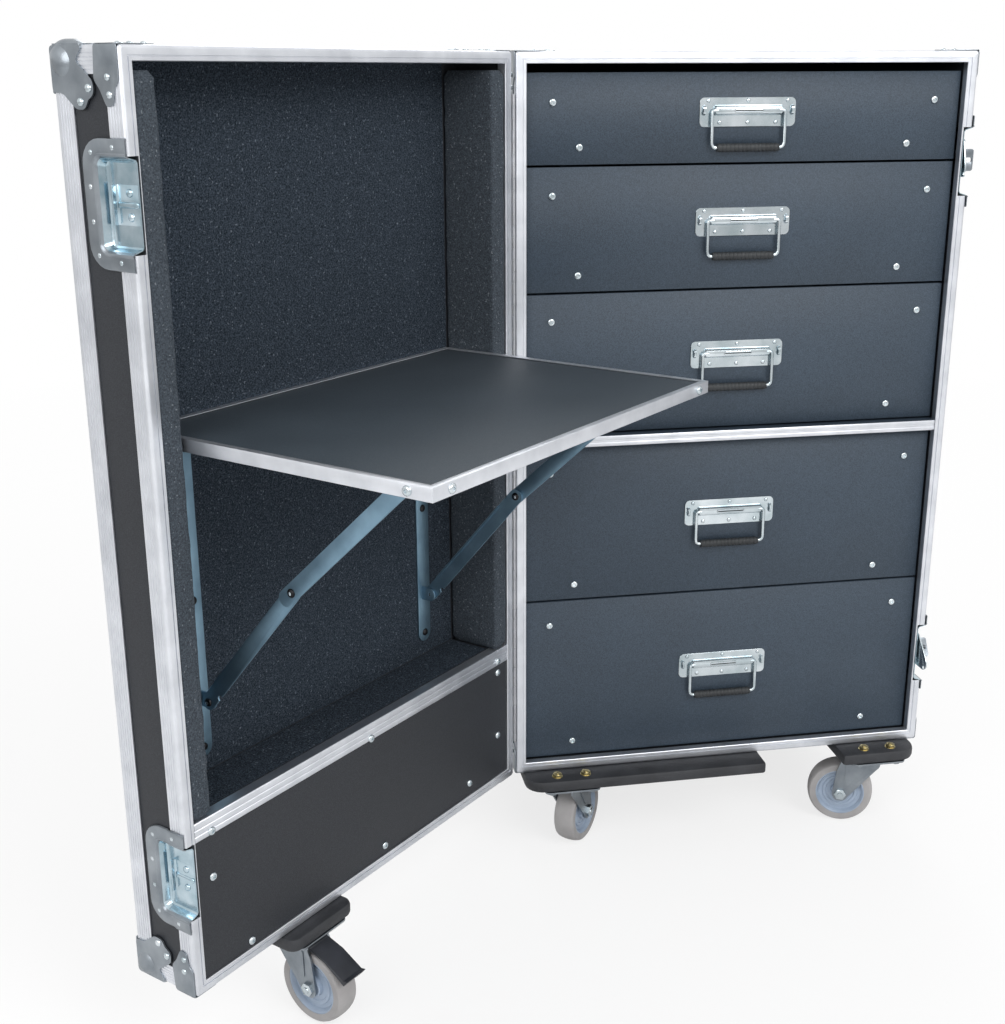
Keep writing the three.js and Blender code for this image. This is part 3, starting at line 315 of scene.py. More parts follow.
LAMINATE = laminate_look("laminate_case", (0.022, 0.035, 0.051), (0.042, 0.062, 0.088))
LAMINATE_BLACK = laminate_look("laminate_lid", (0.009, 0.011, 0.015), (0.022, 0.025, 0.031))
ALUMINIUM = metal_look("edging_aluminium", (0.60, 0.62, 0.66), (0.74, 0.76, 0.80), 0.34, 0.5)
ZINC = metal_look("bright_zinc", (0.20, 0.225, 0.25), (0.33, 0.36, 0.39), 0.24, 0.4)
# A lighter, bluer and glossier copy of the zinc for the cup hollows and keepers: the zinc's own colour with a
# painted reflection laid in
CUP_ZINC_PAINTED_REFLECTION = metal_look("zinc_painted_reflection", (0.30, 0.42, 0.48), (0.56, 0.66, 0.72), 0.12, 0.24, 45)
ZINC_LIGHT = metal_look("light_zinc", (0.42, 0.49, 0.52), (0.66, 0.71, 0.74), 0.16, 0.3)
BRASSY = metal_look("yellow_zinc", (0.34, 0.28, 0.13), (0.52, 0.45, 0.24), 0.25, 0.4)
HINGE_STEEL = metal_look("hinge_steel", (0.38, 0.39, 0.41), (0.52, 0.53, 0.55), 0.3, 0.45)
BRACKET = metal_look("bracket_steel", (0.17, 0.27, 0.35), (0.24, 0.37, 0.47), 0.42, 0.55)
FOAM = carpet_look("lining_foam", (0.030, 0.038, 0.047), (0.072, 0.086, 0.104), (0.16, 0.18, 0.20), 620)
CARPET = carpet_look("lining_carpet", (0.006, 0.010, 0.015), (0.052, 0.068, 0.090), (0.12, 0.14, 0.17), 560)
RUBBER = plastic_look("grip_rubber", (0.010, 0.012, 0.014), (0.024, 0.027, 0.030), 0.45, 0.65)
TYRE = plastic_look("caster_tyre", (0.27, 0.26, 0.26), (0.36, 0.35, 0.35), 0.4, 0.6)
HUB = plastic_look("caster_hub", (0.25, 0.31, 0.40), (0.35, 0.42, 0.52), 0.3, 0.5)
BOARD = plastic_look("black_board", (0.012, 0.013, 0.016), (0.030, 0.032, 0.037), 0.45, 0.7, 300, 0.0004)
SHELF_TOP = laminate_look("shelf_laminate", (0.024, 0.034, 0.044), (0.046, 0.060, 0.074), 1200)
BLACKENED = metal_look("blackened_steel", (0.020, 0.020, 0.022), (0.040, 0.040, 0.042), 0.3, 0.45)
PEDAL = plastic_look("pedal_plastic", (0.014, 0.016, 0.021), (0.030, 0.033, 0.042), 0.4, 0.6)


# Mesh helpers
def ring_angles(sides):
    return [math.tau * index / sides for index in range(sides)]


def circle(radius, sides=ROUND_SIDES, height=0.0):
    return [Vector((radius * math.cos(a), radius * math.sin(a), height)) for a in ring_angles(sides)]


def hexagon(apothem, sides=SMALL_SIDES, height=0.0):
    third = math.pi / 3
    reach = [apothem / math.cos(a % third - third / 2) for a in ring_angles(sides)]
    return [Vector((r * math.cos(a), r * math.sin(a), height))
            for r, a in zip(reach, ring_angles(sides))]


def rounded(width, length, radius, height=0.0):
    """A rectangle with round corners, anticlockwise about the middle."""
    points = []
    for quarter, (side_x, side_y) in enumerate(((1, 1), (-1, 1), (-1, -1), (1, -1))):
        middle = Vector((side_x * (width / 2 - radius), side_y * (length / 2 - radius), height))
        for step in range(CORNER_STEPS + 1):
            angle = math.pi / 2 * (quarter + step / CORNER_STEPS)
            points.append(middle + Vector((math.cos(angle), math.sin(angle), 0)) * radius)
    return points


def filleted(corners, radius, steps=FILLET_STEPS):
    """An outline of straight runs with every corner rounded as far as its sides allow."""
    points = []
    count = len(corners)
    for index, corner in enumerate(corners):
        here = Vector((*corner, 0))
        before = Vector((*corners[index - 1], 0)) - here
        after = Vector((*corners[(index + 1) % count], 0)) - here
        reach = min(radius, before.length / 2, after.length / 2)
        start = here + before.normalized() * reach
        end = here + after.normalized() * reach
        for step in range(steps + 1):
            share = step / steps
            points.append(start.lerp(here, share).lerp(here.lerp(end, share), share))
    return points


def skin(bm, loops, place=Matrix(), close=False):
    """Joins loops of equal length with quads, and closes the ends or the run of loops."""
    rows = [[bm.verts.new(place @ point) for point in loop] for loop in loops]
    pairs = list(zip(rows, rows[1:]))
    if close:
        pairs.append((rows[-1], rows[0]))
    for lower, upper in pairs:
        for index, corner in enumerate(lower):
            after = (index + 1) % len(lower)
            bm.faces.new((corner, lower[after], upper[after], upper[index]))
    if not close:
        bm.faces.new(rows[0][::-1])
        bm.faces.new(rows[-1])


def lathe(bm, profile, place=Matrix(), sides=ROUND_SIDES, close=False):
    skin(bm, [circle(radius, sides, height) for radius, height in profile], place, close)


def prism(bm, outline, thickness, place=Matrix()):
    lift = Vector((0, 0, thickness))
    skin(bm, [outline, [point + lift for point in outline]], place)


def rectangle(low, high):
    """The corners of an upright rectangle, anticlockwise."""
    return (low[0], low[1]), (high[0], low[1]), (high[0], high[1]), (low[0], high[1])


def block(bm, low, high, place=Matrix()):
    prism(bm, [Vector((x, y, low[2])) for x, y in rectangle(low, high)], high[2] - low[2], place)


def block_between(bm, first, second):
    block(bm, tuple(map(min, first, second)), tuple(map(max, first, second)))


def half_round(radius, begin, x=0.0, y=0.0):
    """Half a circle of points about (x, y), from the angle `begin` on."""
    steps = SMALL_SIDES // 2
    angles = [begin + math.pi * step / steps for step in range(steps + 1)]
    return [Vector((x + radius * math.cos(a), y + radius * math.sin(a), 0)) for a in angles]


def section(profile, ends):
    """A profile in (y, z) repeated at each end's x."""
    return [[Vector((x, y, z)) for y, z in profile] for x in ends]


def tube(bm, path, radius, sides=WIRE_SIDES, place=Matrix()):
    """A round wire along a path of points."""
    loops = []
    across = None
    for index, point in enumerate(path):
        ahead = (path[min(index + 1, len(path) - 1)] - path[max(index - 1, 0)]).normalized()
        if across is None:
            across = ahead.orthogonal().normalized()
        across = (across - ahead * across.dot(ahead)).normalized()
        other = ahead.cross(across)
        loops.append([point + (across * math.cos(a) + other * math.sin(a)) * radius
                      for a in ring_angles(sides)])
    skin(bm, loops, place)


def bent(points, radius, steps=FILLET_STEPS):
    """A polyline in space with its inner corners rounded."""
    path = [points[0]]
    for before, here, after in zip(points, points[1:], points[2:]):
        back, ahead = before - here, after - here
        reach = min(radius, back.length / 2, ahead.length / 2)
        start = here + back.normalized() * reach
        end = here + ahead.normalized() * reach
        for step in range(steps + 1):
            share = step / steps
            path.append(start.lerp(here, share).lerp(here.lerp(end, share), share))
    return path + [points[-1]]


def rivet(bm, place, scale=1.0):
    lathe(bm, [(radius * scale, height * scale) for radius, height in RIVET_PROFILE],
          place, SMALL_SIDES)


def button_screw(bm, place):
    loops = [circle(radius, SMALL_SIDES, height) for radius, height in SCREW_PROFILE]
    top = SCREW_PROFILE[-1][1]
    loops.append(hexagon(SOCKET_RADIUS, SMALL_SIDES, top))
    loops.append(hexagon(SOCKET_RADIUS, SMALL_SIDES, top - SOCKET_DEPTH))
    skin(bm, loops, place)


def smooth(mesh):
    mesh.shade_smooth()
    mesh.set_sharp_from_angle(angle=SHARP_ANGLE)


def make_object(name, bm, place=Matrix()):
    bmesh.ops.recalc_face_normals(bm, faces=bm.faces)
    mesh = bpy.data.meshes.new(name)
    bm.to_mesh(mesh)
    bm.free()
    made = bpy.data.objects.new(name, mesh)
    scene.collection.objects.link(made)
    made.matrix_world = place
    return made


def apply_modifiers(made):
    bpy.context.view_layer.update()
    graph = bpy.context.evaluated_depsgraph_get()
    mesh = bpy.data.meshes.new_from_object(made.evaluated_get(graph))
    old = made.data
    made.modifiers.clear()
    made.data = mesh
    bpy.data.meshes.remove(old)


def carve(made, cutter_bm, operation="DIFFERENCE"):
    """Cuts, joins or keeps what a second mesh covers, and clears that mesh away."""
    cutter = make_object("cutter", cutter_bm, made.matrix_world)
    change = made.modifiers.new("carve", "BOOLEAN")
    change.operation = operation
    change.solver = "EXACT"
    change.use_self = True
    change.object = cutter
    apply_modifiers(made)
    bpy.data.objects.remove(cutter)


def bevel(made, width, segments=2):
    change = made.modifiers.new("edge", "BEVEL")
    change.width = width
    change.segments = segments
    change.limit_method = "ANGLE"
    change.angle_limit = BEVEL_ANGLE
    change.use_clamp_overlap = True
    change.harden_normals = False


def finish_piece(made, body, material, edge=0.0, replaced=()):
    made.data.materials.clear()
    made.data.materials.append(material)
    if edge:
        bevel(made, edge)
        apply_modifiers(made)
    smooth(made.data)
    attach(made, body)
    if replaced:
        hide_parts(*replaced)
    return made


def piece(name, bm, body, material, place=CASE, edge=0.0, replaced=()):
    return finish_piece(make_object(name, bm, place), body, material, edge, replaced)


# CAD nodes that stay: their own finish, and softly broken edges
def dress(name, material, edge=PANEL_EDGE):
    made = nodes[name]
    made.data.materials.clear()
    made.data.materials.append(material)
    weld = made.modifiers.new("weld", "WELD")
    weld.merge_threshold = WELD
    bevel(made, edge)
    smooth(made.data)


for name in ("case_left_side", "case_right_side", "case_top", "case_bottom", "case_back"):
    dress(name, LAMINATE_BLACK)
dress("lid_shell", LAMINATE_BLACK)
dress("shelf_edging", ALUMINIUM, PLATE_EDGE)
for number in range(1, 6):
    dress(f"drawer_{number}", LAMINATE, DRAWER_EDGE)


# Opening frames: one extruded profile round the opening, cut away at the latches
def ribs(start, end, count):
    """Depths along a leg where a fine groove starts, bottoms out and ends."""
    pitch = (end - start) / (count + 1)
    marks = []
    for index in range(count):
        middle = start + pitch * (index + 1)
        half = RIB_WIDTH / 2
        marks += [(middle - half, 0), (middle - half * 0.6, RIB_DEPTH),
                  (middle + half * 0.6, RIB_DEPTH), (middle + half, 0)]
    return marks


def corner_arc(radius):
    """From the side leg round to the face leg of an edge profile, as (inset, depth)."""
    return [(radius - radius * math.cos(a), radius - radius * math.sin(a))
            for a in (math.pi / 2 * step / FILLET_STEPS for step in range(FILLET_STEPS + 1))]


def frame_profile():
    side = [(dip, depth) for depth, dip in reversed(ribs(EDGE_RADIUS, SKIRT_DEPTH, 4))]
    leg = LIP_WIDTH - SHEET
    face = [(GROOVE_START, 0), (GROOVE_START + GAP, GROOVE_DEPTH),
            (GROOVE_END - GAP, GROOVE_DEPTH), (GROOVE_END, 0),
            (LIP_WIDTH - SHEET / 2, 0), (LIP_WIDTH, SHEET / 2)]
    inside = [(LIP_WIDTH, LEG_DEPTH), (leg, LEG_DEPTH), (leg, LIP_THICKNESS),
              (SHEET, LIP_THICKNESS), (SHEET, SKIRT_DEPTH)]
    return [(0, SKIRT_DEPTH)] + side + corner_arc(EDGE_RADIUS) + face + inside


def angle_profile():
    side = [(dip, depth) for depth, dip in reversed(ribs(EDGE_RADIUS, EDGE_ANGLE, 5))]
    face = ribs(EDGE_RADIUS, EDGE_ANGLE, 5)
    inside = [(EDGE_ANGLE, 0), (EDGE_ANGLE, SHEET), (SHEET, SHEET), (SHEET, EDGE_ANGLE)]
    return [(0, EDGE_ANGLE)] + side + corner_arc(EDGE_RADIUS) + face + inside


def sweep_round(bm, profile, plane, inward, radius):
    """Carries an edge profile round the case outline; its depth runs from a plane inward."""
    loops = []
    for inset, depth in profile:
        flat = rounded(CASE_WIDTH - inset * 2, CASE_HEIGHT - inset * 2, max(radius - inset, GAP))
        y = plane + inward * depth
        loops.append([Vector((p.x + CASE_WIDTH / 2, y, p.y + CASE_HEIGHT / 2)) for p in flat])
    skin(bm, loops, close=True)


LATCH_HEIGHTS = {label: sum((CASE.inverted() @ corner).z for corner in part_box(f"latch_dish_{label}")) / 2
                 for label in ("upper", "lower")}
CUP_HEIGHT = 0.091
CUP_DEPTH = 0.013
CUP_REACH = 0.046
FLANGE_REACH = 0.063
FLANGE_HEIGHT = 0.122
FLANGE_RISE = 0.0018


def opening_frame(name, body, place, plane, inward, replaced):
    bm = bmesh.new()
    sweep_round(bm, frame_profile(), plane, inward, EDGE_RADIUS * 1.2)
    made = make_object(name, bm, place)
    cuts = bmesh.new()
    for height in LATCH_HEIGHTS.values():
        block(cuts, (CASE_WIDTH - LIP_WIDTH + SHEET + GAP, -SKIRT_DEPTH * 2, height - CUP_HEIGHT / 2 - GAP),
              (CASE_WIDTH + OVERRUN, SKIRT_DEPTH * 2, height + CUP_HEIGHT / 2 + GAP))
    carve(made, cuts)
    finish_piece(made, body, ALUMINIUM, 0, [replaced])


opening_frame("case_opening_frame", "case", CASE, 0, 1, "case_front_frame")
opening_frame("lid_opening_frame", "lid", LID, LID_FRONT, -1, "lid_front_frame")


# Rear edging: angles round the back face and along the four long edges
def rear_edging(name, body, place, back, inward, front_end, replaced):
    bm = bmesh.new()
    profile = angle_profile()
    sweep_round(bm, profile, back, inward, EDGE_RADIUS * 1.2)
    run_start = back + inward * (EDGE_ANGLE + GAP)
    for x, in_x, z, in_z in CORNERS:
        points = [(x + in_x * inset, z + in_z * depth) for inset, depth in profile]
        skin(bm, [[Vector((u, y, v)) for u, v in points] for y in (run_start, front_end)])
    made = make_object(name, bm, place)
    tips = bmesh.new()
    for x, in_x, z, in_z in CORNERS:
        tip = Vector((x, back, z))
        signs = Vector((in_x, inward, in_z))
        block_between(tips, tip - signs * OVERRUN, tip + signs * TIP_DEPTH)
    carve(made, tips)
    finish_piece(made, body, ALUMINIUM, 0, [replaced])


rear_edging("case_edge_angles", "case", CASE, CASE_DEPTH, -1, SKIRT_DEPTH + GAP, "case_rear_frame")
rear_edging("lid_edge_angles", "lid", LID, LID_FRONT - LID_DEPTH, 1,
            LID_FRONT - SKIRT_DEPTH - GAP, "lid_rear_frame")


# Ball corners: a pressed dome with three riveted ears
def corner_places(tip, signs):
    """Turns ear coordinates (along, across, out) onto the three faces of a corner."""
    ways = [Vector([signs[axis] if row == axis else 0 for row in range(3)]) for axis in range(3)]
    for normal in range(3):
        turn = Matrix((ways[(normal + 1) % 3], ways[(normal + 2) % 3], -ways[normal])).transposed()
        yield Matrix.Translation(tip) @ turn.to_4x4()


def in_fixed_order(bm):
    """The same mesh with corners and faces sorted, because a hull's own order varies by run."""
    rings = [[vertex.co[:] for vertex in face.verts] for face in bm.faces]
    bm.free()
    points = sorted({point for ring in rings for point in ring})
    rank = {point: index for index, point in enumerate(points)}
    ranked = []
    for ring in rings:
        order = [rank[point] for point in ring]
        first = order.index(min(order))
        ranked.append(order[first:] + order[:first])
    made = bmesh.new()
    verts = [made.verts.new(point) for point in points]
    for order in sorted(ranked):
        made.faces.new([verts[index] for index in order])
    return made


def ball_corner(tip, signs, rivets):
    bm = bmesh.new()
    dome = (BALL_RADIUS - BALL_STAND_OFF, BALL_RADIUS), (TIP_INSET, TIP_INSET + BALL_STAND_OFF)
    for inset, radius in dome:
        bmesh.ops.create_uvsphere(bm, u_segments=ROUND_SIDES, v_segments=BALL_RINGS, radius=radius,
                                  matrix=Matrix.Translation(tip + signs * inset))
    hull = bmesh.ops.convex_hull(bm, input=bm.verts)
    spare = [vertex for vertex in hull["geom_interior"] if isinstance(vertex, bmesh.types.BMVert)]
    bmesh.ops.delete(bm, geom=spare, context="VERTS")
    kept = set(hull["geom"])
    inner_faces = [face for face in bm.faces if face not in kept]
    bmesh.ops.delete(bm, geom=inner_faces, context="FACES_ONLY")
    made = make_object("corner", in_fixed_order(bm))
    for place in corner_places(tip, signs):
        ear = bmesh.new()
        prism(ear, filleted(EAR_OUTLINE, EAR_ROUND), SHEET * 1.4, place @ at(0, 0, -SHEET * 0.4))
        carve(made, ear, "UNION")
        for along, across in EAR_RIVETS:
            rivet(rivets, place @ at(along, across, SHEET))
    keep_out = bmesh.new()
    inner = tip + signs * TIP_DEPTH
    block_between(keep_out, inner, inner + signs * BALL_CUT)
    carve(made, keep_out)
    return made


def ball_corners(prefix, body, place, back, inward):
    rivets = bmesh.new()
    merged = bmesh.new()
    for x, in_x, z, in_z in CORNERS:
        made = ball_corner(Vector((x, back, z)), Vector((in_x, inward, in_z)), rivets)
        merged.from_mesh(made.data)
        bpy.data.objects.remove(made)
    piece(f"{prefix}_ball_corners", merged, body, ZINC, place, PLATE_EDGE)
    return rivets


case_rivets = ball_corners("case", "case", CASE, CASE_DEPTH, -1)
lid_rivets = ball_corners("lid", "lid", LID, LID_FRONT - LID_DEPTH, 1)


# Brace plates folded over the front corners
def brace_plates(name, body, place, plane, inward, rivets):
    bm = bmesh.new()
    for x, in_x, z, in_z in CORNERS:
        # (behind the front plane, away from the corner, out of the face)
        side = Matrix(((0, 0, -in_x, x), (inward, 0, 0, plane), (0, in_z, 0, z), (0, 0, 0, 1)))
        cap = Matrix(((0, in_x, 0, x), (inward, 0, 0, plane), (0, 0, -in_z, z), (0, 0, 0, 1)))
        for turn in (side, cap):
            prism(bm, filleted(BRACE_OUTLINE, BRACE_ROUND), BRACE_THICKNESS, turn)
            for along, away in BRACE_RIVETS:
                rivet(rivets, turn @ at(along, away, BRACE_THICKNESS), BRACE_RIVET_SHARE)
    piece(name, bm, body, ZINC, place, FINE_EDGE)


brace_plates("case_brace_plates", "case", CASE, 0, 1, case_rivets)
brace_plates("lid_brace_plates", "lid", LID, LID_FRONT, -1, lid_rivets)


# Latch dishes: one pressed sheet per half, stepping down from the edging to the panel
DISH_SIZES = (
    (FLANGE_REACH * 2, FLANGE_HEIGHT, 0.0245, 0.0002),
    (FLANGE_REACH * 2 - 0.0008, FLANGE_HEIGHT - 0.0008, 0.0240, 0.0014),
    (FLANGE_REACH * 2 - 0.003, FLANGE_HEIGHT - 0.003, 0.0230, 0.0018),
    (CUP_REACH * 2 + 0.005, CUP_HEIGHT + 0.005, 0.0110, 0.0018),
    (CUP_REACH * 2 + 0.003, CUP_HEIGHT + 0.003, 0.0100, 0.0026),
    (CUP_REACH * 2 + 0.001, CUP_HEIGHT + 0.001, 0.0095, 0.0022),
    (CUP_REACH * 2 - 0.002, CUP_HEIGHT - 0.002, 0.0085, -0.0010),
    (CUP_REACH * 2 - 0.007, CUP_HEIGHT - 0.007, 0.0075, -CUP_DEPTH + 0.0035),
    (CUP_REACH * 2 - 0.012, CUP_HEIGHT - 0.012, 0.0060, -CUP_DEPTH + 0.0018),
)
STEP_START = 0.0225
STEP_END = 0.0270
STEP_DROP = 0.0014
FLANGE_RIVETS = ((0.0545, 0.0165), (0.0545, -0.0165), (0.0505, 0.0485), (0.0505, -0.0485),
                 (0.0180, 0.0535), (0.0180, -0.0535))


def half_dish(name, body, place, plane, inward, height, rivets, replaced):
    """`inward` is +1 for the case's half and -1 for the lid's."""
    bm = bmesh.new()
    skin(bm, [rounded(*size) for size in DISH_SIZES])
    lowest = min(bm.faces, key=lambda face: face.calc_center_median().z)
    backing = [face for face in bm.faces if len(face.verts) > 4 and face is not lowest]
    bmesh.ops.delete(bm, geom=backing, context="FACES_ONLY")
    for reach in (-STEP_END, -STEP_START, 0, STEP_START, STEP_END):
        geometry = bm.verts[:] + bm.edges[:] + bm.faces[:]
        bmesh.ops.bisect_plane(bm, geom=geometry, plane_co=(reach, 0, 0), plane_no=(1, 0, 0),
                               clear_inner=reach == 0)
    for vertex in bm.verts:
        if vertex.co.z > 0:
            share = min(max((abs(vertex.co.x) - STEP_START) / (STEP_END - STEP_START), 0), 1)
            vertex.co.z -= STEP_DROP * share
    turn = at(CASE_WIDTH, plane, height) @ ON_SIDE @ Matrix.Scale(inward, 4, (1, 0, 0))
    bm.transform(turn)
    made = make_object(name, bm, place)
    thicken = made.modifiers.new("sheet", "SOLIDIFY")
    thicken.thickness = BRACE_THICKNESS
    thicken.offset = -1
    apply_modifiers(made)
    finish_piece(made, body, ZINC, 0, [replaced])
    # Faces sunk into the cup take the lighter, bluer zinc copy: painted reflection on the same pressed sheet
    made.data.materials.append(CUP_ZINC_PAINTED_REFLECTION)
    for face in made.data.polygons:
        if face.center.x < CASE_WIDTH - BRACE_THICKNESS:
            face.material_index = 1
    for reach, rise in FLANGE_RIVETS:
        drop = STEP_DROP if reach > STEP_END else 0
        rivet(rivets, at(CASE_WIDTH, plane, height) @ ON_SIDE
              @ at(inward * reach, rise, FLANGE_RISE - drop), FLANGE_RIVET_SHARE)


for label, height in LATCH_HEIGHTS.items():
    half_dish(f"latch_cup_{label}", "case", CASE, 0, 1, height, case_rivets, f"latch_dish_{label}")
    half_dish(f"keeper_cup_{label}", "lid", LID, LID_FRONT, -1, height, lid_rivets,
              f"lid_keeper_dish_{label}")


# What the cups hold: a riveted keeper in the lid's half and the flat hook of the case's half
CUP_FLOOR = 0.6222
KEEPER_FRONT = -0.002
KEEPER_LIP = -0.033
KEEPER_HALF = 0.019
KEEPER_SHEET = 0.0018
KEEPER_LIP_HEIGHT = 0.0075
KEEPER_RIDGE = 0.0022
KEEPER_RIVET = (-0.0138, 0.0114)
HOOK_STAND = 0.0034
HOOK_THICKNESS = 0.0020
HOOK_ROOT = 0.015
HOOK_TOP = 0.030
HOOK_NOSE = (0.004, 0.013)
HOOK_TOE = 0.0205
HOOK_HOLE = 0.0026


def keeper(label, height):
    bm = bmesh.new()
    profile = [(KEEPER_FRONT, 0), (KEEPER_LIP + KEEPER_SHEET, 0), (KEEPER_LIP, KEEPER_SHEET),
               (KEEPER_LIP, KEEPER_LIP_HEIGHT), (KEEPER_LIP + KEEPER_SHEET, KEEPER_LIP_HEIGHT),
               (KEEPER_LIP + KEEPER_SHEET, KEEPER_SHEET * 2),
               (KEEPER_LIP + KEEPER_SHEET * 2, KEEPER_SHEET),
               (KEEPER_FRONT, KEEPER_SHEET)]
    loops = [[Vector((CUP_FLOOR + rise, y, height + side * KEEPER_HALF)) for y, rise in profile]
             for side in (-1, 1)]
    skin(bm, loops)
    ridge = KEEPER_LIP + KEEPER_SHEET, KEEPER_FRONT
    middle = sum(ridge) / 2
    pressed_bump(bm, (ridge[1] - ridge[0]) / 2, KEEPER_RIDGE * 2.6, KEEPER_RIDGE,
                 at(CUP_FLOOR + KEEPER_SHEET, middle, height) @ ON_SIDE)
    for side in (-1, 1):
        rivet(bm, at(CUP_FLOOR + KEEPER_SHEET, KEEPER_RIVET[0], height + side * KEEPER_RIVET[1]) @ ON_SIDE)
    # The keeper takes the same zinc copy with its painted reflection
    piece(f"latch_keeper_{label}", bm, "lid", CUP_ZINC_PAINTED_REFLECTION, LID, FINE_EDGE)


def hook(label, height):
    """The nose stands out of the cup as far as the CAD hook does."""
    length = -local_box(f"latch_dish_{label}", CASE)[0].y
    outline = ((HOOK_ROOT, height - HOOK_TOE), (HOOK_ROOT, height + HOOK_TOP),
               (HOOK_ROOT - 0.010, height + HOOK_TOP),
               (-length, height - HOOK_NOSE[0]), (-length, height - HOOK_NOSE[1]),
               (-length * 0.7, height - HOOK_TOE))
    bm = bmesh.new()
    place = at(CUP_FLOOR + HOOK_STAND, 0, 0) @ ON_SIDE
    prism(bm, filleted(outline, 0.005), HOOK_THICKNESS, place)
    made = make_object(f"latch_hook_{label}", bm, CASE)
    hole = bmesh.new()
    tip = at(-length * 0.72, height - (HOOK_NOSE[1] + HOOK_TOE) / 2 + 0.001, 0)
    lathe(hole, [(HOOK_HOLE, -OVERRUN), (HOOK_HOLE, OVERRUN)], place @ tip, SMALL_SIDES)
    carve(made, hole)
    finish_piece(made, "case", ZINC_LIGHT, FINE_EDGE)


# Drawer screws, handle plates and bails
PLATE_RIVETS = ((-0.055, 0.0148), (0, 0.0148), (0.055, 0.0148),
                (-0.039, -0.0130), (0, -0.0130), (0.039, -0.0130))
RIDGE_HALF = 0.0485
RIDGE_HEIGHT = 0.0135
RIDGE_RISE = 0.0062
KNUCKLE_START = 0.0585
KNUCKLE_END = 0.0640
BOSS_HALF = 0.022
BOSS_RISE = 0.0072
WIRE_RADIUS = 0.0026
GRIP_RADIUS = 0.0058
GRIP_HALF = 0.0435
GRIP_RIBS = 15
BAIL_CORNER = 0.007
PLATE_SHEET = 0.0014
RIDGE_OFFSET = 0.0024
HANDLE_ROUND = 0.007
HANDLE_BREAK = 0.0012
BAIL_EYE = 0.0035
BAIL_STAND = 0.0022
BAIL_TURN_IN = 0.008
GRIP_ROOM = 0.0012
GRIP_RISE = 0.007


def pressed_bump(bm, half, height, rise, place):
    """A raised ridge pressed out of a plate, with sloping flanks."""
    loops = [rounded(half * 2, height, 0.0030, -GAP), rounded(half * 2, height, 0.0030, 0.0004),
             rounded(half * 2 - 0.0016, height - 0.0022, 0.0030, rise * 0.62),
             rounded(half * 2 - 0.0034, height - 0.0052, 0.0026, rise * 0.93),
             rounded(half * 2 - 0.0060, height - 0.0085, 0.0018, rise)]
    skin(bm, loops, place)


def handle(number):
    low, high = local_box(f"handle_plate_{number}", CASE)
    middle = Vector(((low.x + high.x) / 2, high.y, (low.z + high.z) / 2))
    place = Matrix.Translation(middle) @ ON_FRONT
    plate = bmesh.new()
    width, height = high.x - low.x, high.z - low.z
    skin(plate, [rounded(width, height, HANDLE_ROUND, 0),
                 rounded(width, height, HANDLE_ROUND, PLATE_SHEET * 0.6),
                 rounded(width - HANDLE_BREAK, height - HANDLE_BREAK, HANDLE_ROUND - HANDLE_BREAK / 2,
                         PLATE_SHEET)], place)
    wire_low, wire_high = local_box(f"handle_bail_{number}", CASE)
    for start, end, rise in ((-RIDGE_HALF, RIDGE_HALF, RIDGE_RISE),
                             (-KNUCKLE_END, -KNUCKLE_START, RIDGE_RISE * 0.8),
                             (KNUCKLE_START, KNUCKLE_END, RIDGE_RISE * 0.8)):
        centre = (start + end) / 2
        pressed_bump(plate, (end - start) / 2, RIDGE_HEIGHT, rise,
                     place @ at(centre, RIDGE_OFFSET, PLATE_SHEET))
    pressed_bump(plate, BOSS_HALF, RIDGE_HEIGHT * 0.8, BOSS_RISE,
                 place @ at(0, RIDGE_OFFSET, PLATE_SHEET))
    piece(f"handle_base_{number}", plate, f"drawer_{number}", ZINC_LIGHT, CASE, 0,
          [f"handle_plate_{number}"])
    rivets = bmesh.new()
    for x, z in PLATE_RIVETS:
        rivet(rivets, place @ at(x, z, PLATE_SHEET), HANDLE_RIVET_SHARE)
    piece(f"handle_rivets_{number}", rivets, f"drawer_{number}", ZINC_LIGHT)

    wire = bmesh.new()
    half = (wire_high.x - wire_low.x) / 2 - BAIL_EYE
    pivot = Vector((middle.x, (wire_low.y + wire_high.y) / 2 + BAIL_STAND, wire_high.z - BAIL_EYE))
    lowest = Vector((middle.x, wire_low.y + GRIP_RADIUS + GRIP_ROOM, wire_low.z + GRIP_RISE))
    side = Vector((half, 0, 0))
    inner = Vector((half - BAIL_TURN_IN, 0, 0))
    path = bent([pivot - inner, pivot - side, lowest - side, lowest + side, pivot + side,
                 pivot + inner], BAIL_CORNER)
    tube(wire, path, WIRE_RADIUS)
    piece(f"handle_wire_{number}", wire, f"handle_bail_{number}", ZINC_LIGHT, CASE, 0,
          [f"handle_bail_{number}"])
    grip = bmesh.new()
    profile = [(WIRE_RADIUS + GAP, -GRIP_HALF), (GRIP_RADIUS * 0.86, -GRIP_HALF + GAP)]
    pitch = (GRIP_HALF * 2 - 0.004) / GRIP_RIBS
    for index in range(GRIP_RIBS):
        start = -GRIP_HALF + 0.002 + index * pitch
        profile += [(GRIP_RADIUS * 0.88, start), (GRIP_RADIUS, start + pitch * 0.22),
                    (GRIP_RADIUS, start + pitch * 0.72), (GRIP_RADIUS * 0.88, start + pitch * 0.9)]
    profile += [(GRIP_RADIUS * 0.86, GRIP_HALF - GAP), (WIRE_RADIUS + GAP, GRIP_HALF)]
    lathe(grip, profile, Matrix.Translation(lowest) @ Matrix.Rotation(math.pi / 2, 4, "Y"), SMALL_SIDES)
    piece(f"handle_grip_{number}", grip, f"handle_bail_{number}", RUBBER)


